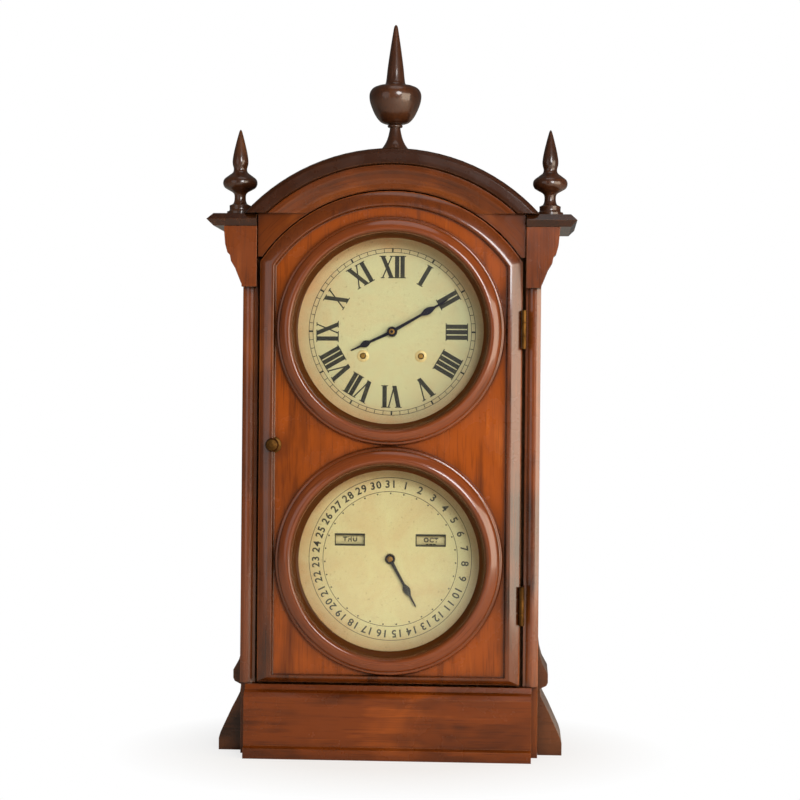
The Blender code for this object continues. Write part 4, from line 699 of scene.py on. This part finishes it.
def track(bm, centre, radius, back, front):
    """A thin printed line round a centre."""
    inner = radius - TRACK_LINE / 2
    outer = radius + TRACK_LINE / 2
    corners = ((inner, back), (inner, front), (outer, front), (outer, back))
    skin(bm, [circle(bm, centre, reach, place, TURN_STEPS) for reach, place in corners], closed=True)


def placed(points, centre, angle, radius):
    """Points drawn upright about (0, 0), carried out to a radius at a clock angle, feet to the centre."""
    s = sin(angle)
    c = cos(angle)
    return [(centre[0] + x * c + (z + radius) * s, centre[1] - x * s + (z + radius) * c) for x, z in points]


def oblong(left, right, bottom, top):
    """The corners of a rectangle."""
    return [(left, bottom), (right, bottom), (right, top), (left, top)]


def bar(foot, head, width):
    """The outline of a stroke from foot to head, cut off level at both."""
    half = width / 2
    x0, z0 = foot
    x1, z1 = head
    return [(x0 - half, z0), (x0 + half, z0), (x1 + half, z1), (x1 - half, z1)]


def serif(x, z, width):
    """The short foot or cap across the end of a stroke."""
    half = width / 2 + SERIF_REACH
    step = SERIF_HEIGHT / 2
    return oblong(x - half, x + half, z - step, z + step)


def letter(kind, x, height):
    """The strokes of one Roman letter whose middle stands at x."""
    top = height / 2
    thick = STROKE_THICK
    thin = STROKE_THIN
    reach = LETTER_WIDTHS[kind] / 2
    left = x - reach + thick / 2
    if kind == "I":
        return [bar((x, -top), (x, top), thick), serif(x, top, thick), serif(x, -top, thick)]
    if kind == "V":
        right = x + reach - thin / 2
        strokes = [bar((x, -top), (left, top), thick), bar((x, -top), (right, top), thin)]
        return strokes + [serif(left, top, thick), serif(right, top, thin)]
    right = x + reach - thick / 2
    strokes = [bar((right, -top), (left, top), thick), bar((left, -top), (right, top), thin)]
    strokes += [serif(left, top, thick), serif(right, top, thin)]
    return strokes + [serif(left, -top, thin), serif(right, -top, thick)]


def numeral(text, height):
    """The strokes of a Roman numeral about (0, 0)."""
    widths = [LETTER_WIDTHS[kind] for kind in text]
    total = sum(widths) + LETTER_GAP * (len(text) - 1)
    x = -total / 2
    strokes = []
    for kind, width in zip(text, widths):
        strokes += letter(kind, x + width / 2, height)
        x += width + LETTER_GAP
    return strokes


def text_mesh(text, size, weight):
    """The triangles of a line of plain text, centred on (0, 0)."""
    curve = bpy.data.curves.new("text", "FONT")
    curve.body = text
    curve.size = size
    curve.align_x = "CENTER"
    curve.align_y = "CENTER"
    curve.resolution_u = TEXT_STEPS
    curve.offset = weight
    curve.space_character = TEXT_SPACING
    maker = add_to_scene("text", curve)
    bpy.context.view_layer.update()
    mesh = maker.evaluated_get(bpy.context.evaluated_depsgraph_get()).to_mesh()
    mesh.calc_loop_triangles()
    points = [(vertex.co.x, vertex.co.y) for vertex in mesh.vertices]
    faces = [tuple(triangle.vertices) for triangle in mesh.loop_triangles]
    bpy.data.objects.remove(maker)
    bpy.data.curves.remove(curve)
    return points, faces


def add_triangles(bm, places, faces):
    corners = [bm.verts.new(place) for place in places]
    for face in faces:
        bm.faces.new([corners[i] for i in face])


def build_rings(surfaces):
    """The moulded face of each ring in place of its solid."""
    for node in RINGS:
        inner, outer = radii(node)
        low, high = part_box(node)
        rise = high.y - low.y
        shares = spline(RING_PROFILE_SHARES)
        profile = [(inner + (outer - inner) * across, high.y - rise * held(up)) for across, up in shares]
        bm = turned(profile, middle_of(node), ring=True)
        link(node + "_turned", bm, surfaces[node], "door", TURNED_CREASE, node)


def arched_loop(bm, bottom, half, reach, front):
    """The points of an arched panel's outline at one depth."""
    centre = arch_height()
    spring = asin((reach**2 - half**2) ** 0.5 / reach)
    points = [(-half, bottom), (half, bottom)]
    for step in range(RIM_ARC_STEPS + 1):
        turn = spring + (pi - 2 * spring) * step / RIM_ARC_STEPS
        points.append((reach * cos(turn), centre + reach * sin(turn)))
    return [bm.verts.new((x, front, z)) for x, z in points]


def build_rim(surface):
    """The bevelled border of the door, over the flat bead of the solid: highest near its inner edge."""
    front = door_front()
    points = [point for point in points_of("door_frame") if abs(point.y - front) < WELD]
    bottom = min(point.z for point in points)
    half = max(point.x for point in points)
    reach = max(point.z for point in points) - arch_height()
    bm = bmesh.new()
    loops = []
    for inset, rise in spline(RIM_PROFILE, RIM_SPLINE_STEPS):
        foot = bottom + inset * RIM_FOOT_SHARE
        loops.append(arched_loop(bm, foot, half - inset, reach - inset, front - SEAT_GAP - rise))
    skin(bm, loops)
    link("door_rim", bm, surface, "door", BORDER_CREASE)


def build_finials(surface):
    """The turned finials in place of their solids."""
    for node in ("finial_centre", "finial_left", "finial_right"):
        low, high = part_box(node)
        centre = ((low.x + high.x) / 2, (low.y + high.y) / 2)
        radius = half_width(node)
        height = high.z - low.z
        shares = spline(CENTRE_FINIAL_SHARES if node == "finial_centre" else SIDE_FINIAL_SHARES)
        profile = [(radius * held(across), low.z + height * held(up)) for across, up in shares]
        bm = turned(profile, centre, upright=True, steps=FINIAL_STEPS)
        link(node + "_turned", bm, surface, "case", TURNED_CREASE, node)


def build_time_print(black):
    """The hours and the minute track. The strokes of an hour lie at several depths, since some cross."""
    centre = middle_of("time_dial")
    radius = half_width("time_dial")
    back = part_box("time_dial")[0].y - SEAT_GAP
    front = back - PRINT_RISE
    bm = bmesh.new()
    for hour, text in enumerate(HOURS):
        for number, stroke in enumerate(numeral(text, radius * HOUR_HEIGHT_SHARE)):
            outline = placed(stroke, centre, tau * hour / 12, radius * HOUR_RADIUS_SHARE)
            slab(bm, outline, back, front - SEAT_GAP * (number % STROKE_LEVELS))
    for share in (TRACK_OUTER_SHARE, TRACK_INNER_SHARE):
        track(bm, centre, radius * share, back, front)
    middle = radius * (TRACK_OUTER_SHARE + TRACK_INNER_SHARE) / 2
    half = radius * (TRACK_OUTER_SHARE - TRACK_INNER_SHARE) / 2
    for minute in range(60):
        tick = bar((0, -half), (0, half), MINUTE_TICK if minute % 5 else HOUR_TICK)
        slab(bm, placed(tick, centre, tau * minute / 60, middle), back, front)
    link("time_dial_print", bm, black, "case")


def build_eyelets(brass):
    """The rims of the two winding holes."""
    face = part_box("time_dial")[0].y
    back = face - SEAT_GAP
    top = face - EYELET_RISE
    for node in ("time_great_wheel", "strike_great_wheel"):
        centre = middle_of(node)
        arbor = arbor_radius(node, centre)
        inner = EYELET_HOLE_SHARE * arbor
        outer = 2 * arbor + EYELET_WIDTH
        profile = [(inner, back), (inner, top), ((inner + outer) / 2, top)]
        profile += [(outer, face - EYELET_RISE / 2), (outer, back)]
        bm = turned(profile, centre, ring=True, steps=EYELET_STEPS)
        link(node + "_eyelet", bm, brass, "case", BRASS_CREASE)


def build_calendar_print(black):
    """The dates with their dots and track."""
    centre = middle_of("calendar_dial")
    radius = half_width("calendar_dial")
    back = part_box("calendar_dial")[0].y - SEAT_GAP
    front = back - PRINT_RISE
    dot = []
    for step in range(DOT_STEPS):
        turn = tau * step / DOT_STEPS
        dot.append((DATE_DOT_RADIUS * cos(turn), DATE_DOT_RADIUS * sin(turn)))
    bm = bmesh.new()
    for day in range(1, DATES + 1):
        angle = tau * day / DATES
        points, faces = text_mesh(str(day), DATE_TEXT_SIZE, DATE_TEXT_WEIGHT)
        places = placed(points, centre, angle, radius * DATE_RADIUS_SHARE)
        add_triangles(bm, [(x, front, z) for x, z in places], faces)
        slab(bm, placed(dot, centre, angle, radius * DATE_TRACK_INNER_SHARE - DATE_DOT_INSET), back, front)
    for share in (DATE_TRACK_OUTER_SHARE, DATE_TRACK_INNER_SHARE):
        track(bm, centre, radius * share, back, front)
    link("calendar_dial_print", bm, black, "case")


def window_of(roller):
    """The opening of the calendar dial before a roller, from the dial's points: its four sides."""
    centre = middle_of("calendar_dial")
    low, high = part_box(roller)
    corners = [
        point for point in points_of("calendar_dial")
        if low.x - WINDOW_MARGIN < point.x < high.x + WINDOW_MARGIN and low.z < point.z < high.z
        and reach_of(point, centre) > CENTRE_HOLE_LIMIT
    ]
    xs = [point.x for point in corners]
    zs = [point.z for point in corners]
    return min(xs), max(xs), min(zs), max(zs)


def build_window_rims(black):
    """The printed lines round the two windows."""
    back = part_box("calendar_dial")[0].y - SEAT_GAP
    front = back - PRINT_RISE
    gap = WINDOW_MARGIN
    for node in ("weekday_roller", "month_roller"):
        left, right, bottom, top = window_of(node)
        bm = bmesh.new()
        slab(bm, oblong(left - gap, right + gap, top - gap, top + gap), back, front)
        slab(bm, oblong(left - gap, right + gap, bottom - gap, bottom + gap), back, front)
        slab(bm, oblong(left - gap, left, bottom, top), back, front)
        slab(bm, oblong(right, right + gap, bottom, top), back, front)
        link(node + "_window_rim", bm, black, "case")


def build_roller_print(black):
    """The words round each roller, the shown one at the front."""
    for body, words, shown in (("weekday", WEEKDAYS, WEEKDAY_SHOWN), ("month", MONTHS, MONTH_SHOWN)):
        node = body + "_roller"
        corners = points_of(node)
        depth = sum(point.y for point in corners) / len(corners)
        height = sum(point.z for point in corners) / len(corners)
        radius = max(hypot(point.y - depth, point.z - height) for point in corners) + SEAT_GAP
        middle = middle_of(node)[0]
        size = min(ROLLER_TEXT_LIMIT, ROLLER_TEXT_SHARE * tau * radius / len(words))
        bm = bmesh.new()
        for number, word in enumerate(words):
            points, faces = text_mesh(word, size, ROLLER_TEXT_WEIGHT)
            start = tau * (number - shown) / len(words)
            places = []
            for x, z in points:
                turn = start + z / radius
                places.append((middle + x, depth - radius * cos(turn), height + radius * sin(turn)))
            add_triangles(bm, places, faces)
        link(node + "_print", bm, black, body, ROUND_CREASE)


def build_latch_plate(brass):
    """A small round plate on the door under the knob, which is the top of the latch's solid."""
    low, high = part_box("door_latch")
    centre = ((low.x + high.x) / 2, high.z - (high.x - low.x) / 2)
    back = door_front() - SEAT_GAP
    top = door_front() - LATCH_PLATE_RISE
    inner = LATCH_PLATE_RADIUS * LATCH_PLATE_HOLE_SHARE
    profile = [(inner, back), (inner, top), (LATCH_PLATE_RADIUS * LATCH_PLATE_FACE_SHARE, top)]
    profile.append((LATCH_PLATE_RADIUS, back))
    bm = turned(profile, centre, ring=True, steps=LATCH_PLATE_STEPS)
    link("latch_plate", bm, brass, "door", BRASS_CREASE)


def build_putty(surface):
    """The putty that holds each glass from behind."""
    for node in ("glass_upper", "glass_lower"):
        outer = half_width(node)
        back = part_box(node)[1].y + SEAT_GAP
        profile = [(outer - PUTTY_WIDTH, back), (outer, back + PUTTY_WIDTH), (outer, back)]
        bm = turned(profile, middle_of(node), ring=True)
        link(node + "_putty", bm, surface, "door", BORDER_CREASE)


def pin_head(bm, centre, place):
    """The low round head of a pin, which faces the front."""
    loops = [
        circle(bm, centre, PIN_RADIUS * cos(asin(share)), place - PIN_RISE * share, PIN_STEPS)
        for share in PIN_HEAD_SHARES
    ]
    tip = bm.verts.new((centre[0], place - PIN_RISE, centre[1]))
    skin(bm, loops)
    last = loops[-1]
    for i in range(PIN_STEPS):
        bm.faces.new((last[i], last[(i + 1) % PIN_STEPS], tip))
    bm.faces.new(loops[0])


def build_pins(brass):
    """The round-headed pins that hold each dial to its board."""
    for node in ("time_dial", "calendar_dial"):
        centre = middle_of(node)
        reach = half_width(node) - PIN_INSET
        bm = bmesh.new()
        for degrees in PIN_TURNS:
            turn = radians(degrees)
            place = (centre[0] + reach * cos(turn), centre[1] + reach * sin(turn))
            pin_head(bm, place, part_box(node)[0].y - SEAT_GAP)
        link(node + "_pins", bm, brass, "case", ROUND_CREASE)


def build_collets(brass):
    """The turned collets at the middle of the hands."""
    hands = (("minute_hand", "minute", "centre_arbor"), ("date_hand", "date", "date_wheel"))
    for node, body, arbor in hands:
        centre = middle_of(arbor)
        inner = arbor_radius(arbor, centre) + SEAT_GAP
        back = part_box(node)[0].y - SEAT_GAP
        top = back - COLLET_LENGTH
        profile = [(inner, back), (COLLET_RADIUS, back)]
        profile.append((COLLET_RADIUS, back - COLLET_LENGTH * COLLET_SHOULDER_SHARE))
        profile += [(COLLET_RADIUS * COLLET_FACE_SHARE, top), (inner, top)]
        bm = turned(profile, centre, ring=True, steps=COLLET_STEPS)
        link(node + "_collet", bm, brass, body, BRASS_CREASE)


def dress(surface, names):
    """Puts a finish on solids that are shown as they are."""
    for name in names:
        mesh = nodes[name].data
        if mesh.materials:
            mesh.materials[0] = surface
        else:
            mesh.materials.append(surface)
        smooth_faces(mesh, CREASE)


def build_finishes():
    """Every finish by its short name."""
    arch = (0, arch_height())
    made = {
        "door": wood("veneer_upright", DOOR_RED),
        "plinth": wood("veneer_level", PLINTH_RED_SHADED, "level", figure=1.1),
        "flank": wood("veneer_flank", SIDE_RED, figure=0.4),
        "side": wood("veneer_side", SIDE_RED, coat=1.0),
        "rim": wood("rim_veneer", ARCH_RED, coat=0.9),
        "arch": wood("veneer_arch", ARCH_RED, "round", arch),
        "dark": wood("moulding_upright", MOULDING_BROWN, gloss=0.22, wear=0.6, coat=0.6),
        "finial": wood("turned_finial", FINIAL_BROWN, gloss=0.32, wear=0.6, coat=0.8),
        "base": wood("moulding_base", BASE_BROWN, "level", gloss=0.28, wear=0.6),
        "dark_arch": wood("moulding_arch", MOULDING_BROWN, "round", arch, gloss=0.26, wear=0.6),
        "board": board_wood("dial_board_softwood"),
        "brass": metal("old_brass", (172, 132, 66), (92, 62, 28), rough=0.30, spread=0.8),
        "aged": metal("aged_brass", (96, 66, 30), (46, 28, 12), rough=0.36, spread=0.9),
        "eyelet": metal("pale_brass", (222, 202, 140), (170, 140, 84), rough=0.36, spread=0.6, shine=0.35),
        "steel": metal("blue_black_steel", (44, 44, 54), (30, 24, 22), rough=0.30, spread=0.5),
        "iron": metal("cast_iron", (52, 48, 46), (38, 28, 22), rough=0.5, spread=0.6),
        "glass": glass("window_glass"),
        "paper": paper("roller_paper", (204, 196, 146), (168, 150, 100)),
        "black": ink("dial_black", (30, 30, 18), (80, 78, 44)),
        "time_dial": dial_paint("time_dial", (203, 204, 155), (206, 162, 110)),
        "calendar_dial": dial_paint("calendar_dial", (215, 210, 154), (198, 154, 98)),
    }
    for node in RINGS:
        least, most = radii(node)
        # The span of the painted shadow on the ring's inner slope
        inner = [least + (most - least) * share for share in RING_SHADOW_SHARES]
        made[node] = wood(
            node + "_veneer", RING_RED, "round", middle_of(node),
            gloss=0.22, wear=0.6, figure=0.4, coat=0.85, inner=inner,
        )
    return made


def build_object():
    made = build_finishes()
    for finish, names in DRESSED.items():
        dress(made[finish], names)
    dress(made["aged"], [name for name in nodes if name.startswith(HINGE_PREFIX)])
    build_rings(made)
    build_rim(made["rim"])
    build_finials(made["finial"])
    build_time_print(made["black"])
    build_eyelets(made["eyelet"])
    build_calendar_print(made["black"])
    build_window_rims(made["black"])
    build_roller_print(made["black"])
    build_latch_plate(made["aged"])
    build_putty(made["board"])
    build_pins(made["brass"])
    build_collets(made["brass"])


def lamp(name, place, size, power, height=None, tint=(1, 1, 1)):
    """A soft light that faces the clock: round, or a panel where a height is given."""
    data = bpy.data.lights.new(name, "AREA")
    data.shape = "RECTANGLE" if height else "DISK"
    data.size = size
    if height:
        data.size_y = height
    data.energy = power
    data.color = tint
    made = add_to_scene(name, data)
    made.location = place
    facing = Vector((0, 0, AIM_HEIGHT)) - made.location
    made.rotation_euler = facing.to_track_quat("-Z", "Y").to_euler()


def build_floor():
    """A pale floor that fades into the same pale backdrop, so that only the object's shadow shows."""
    kit = Finish("floor_paint")
    x, y, _ = kit.axes(kit.add("ShaderNodeNewGeometry").outputs["Position"])
    kit.set("Base Color", tone(*FLOOR_COLOUR))
    kit.set("Roughness", FLOOR_ROUGHNESS)
    glow = kit.add("ShaderNodeEmission", Color=tone(*BACKDROP), Strength=1.0)
    seen = kit.add("ShaderNodeLightPath").outputs["Is Camera Ray"]
    fade = kit.span(kit.distance(x, y), FLOOR_FADE, (1 - FLOOR_SHARE, 1.0))
    blend = kit.tree.nodes.new("ShaderNodeMixShader")
    kit.feed(blend.inputs[0], kit.times(seen, fade))
    kit.feed(blend.inputs[1], kit.shader.outputs[0])
    kit.feed(blend.inputs[2], glow.outputs[0])
    kit.feed(kit.tree.nodes["Material Output"].inputs["Surface"], blend.outputs[0])
    bm = bmesh.new()
    corners = oblong(-FLOOR_HALF, FLOOR_HALF, -FLOOR_HALF, FLOOR_HALF)
    bm.faces.new([bm.verts.new((u, v, -WELD)) for u, v in corners])
    mesh = bpy.data.meshes.new("floor")
    bm.to_mesh(mesh)
    bm.free()
    mesh.materials.append(kit.made)
    floor = add_to_scene("floor", mesh)


def sky(tree, colour, level):
    """One plain background of the world."""
    node = tree.nodes.new("ShaderNodeBackground")
    node.inputs["Color"].default_value = tone(*colour)
    node.inputs["Strength"].default_value = level
    return node.outputs[0]


def either(tree, choice, first, second):
    """The second background for the rays of one kind, and the first for all others."""
    node = tree.nodes.new("ShaderNodeMixShader")
    for socket, source in zip(node.inputs, (choice, first, second)):
        tree.links.new(source, socket)
    return node.outputs[0]


def build_world():
    """A soft grey light on the object, a dimmer one in its reflections and white behind it."""
    world = bpy.data.worlds.new("studio")
    world.use_nodes = True
    tree = world.node_tree
    tree.nodes.clear()
    rays = tree.nodes.new("ShaderNodeLightPath").outputs
    lit = either(
        tree, rays["Is Glossy Ray"], sky(tree, SKY_COLOUR, WORLD_LEVEL), sky(tree, SKY_COLOUR, MIRROR_LEVEL)
    )
    seen = either(tree, rays["Is Camera Ray"], lit, sky(tree, BACKDROP, 1.0))
    tree.links.new(seen, tree.nodes.new("ShaderNodeOutputWorld").inputs["Surface"])
    bpy.context.scene.world = world


def build_light():
    lamp("key", KEY_PLACE, KEY_SIZE, KEY_POWER)
    lamp("fill", FILL_PLACE, FILL_SIZE, FILL_POWER)
    lamp("side", SIDE_PLACE, SIDE_WIDTH, SIDE_POWER, SIDE_HEIGHT, SIDE_TINT)
    lamp("top", TOP_PLACE, TOP_SIZE, TOP_POWER)


def build_camera():
    """The photo's view: a little to the right of the front, and a little rolled."""
    data = bpy.data.cameras.new("camera")
    data.lens = LENS
    data.sensor_width = SENSOR
    camera = add_to_scene("camera", data)
    turn = radians(TURN)
    sideways = Vector((cos(turn), sin(turn), 0))
    back = Vector((sin(turn), -cos(turn), 0))
    target = Vector((0, door_front(), AIM_HEIGHT)) + sideways * AIM_SHIFT
    facing = (-back).to_track_quat("-Z", "Y").to_matrix().to_4x4()
    roll = Matrix.Rotation(radians(ROLL), 4, "Z")
    camera.matrix_world = Matrix.Translation(target + back * DISTANCE) @ facing @ roll
    bpy.context.scene.camera = camera


build_object()
build_floor()
build_world()
build_light()
build_camera()
bpy.context.scene.view_settings.view_transform = "Standard"
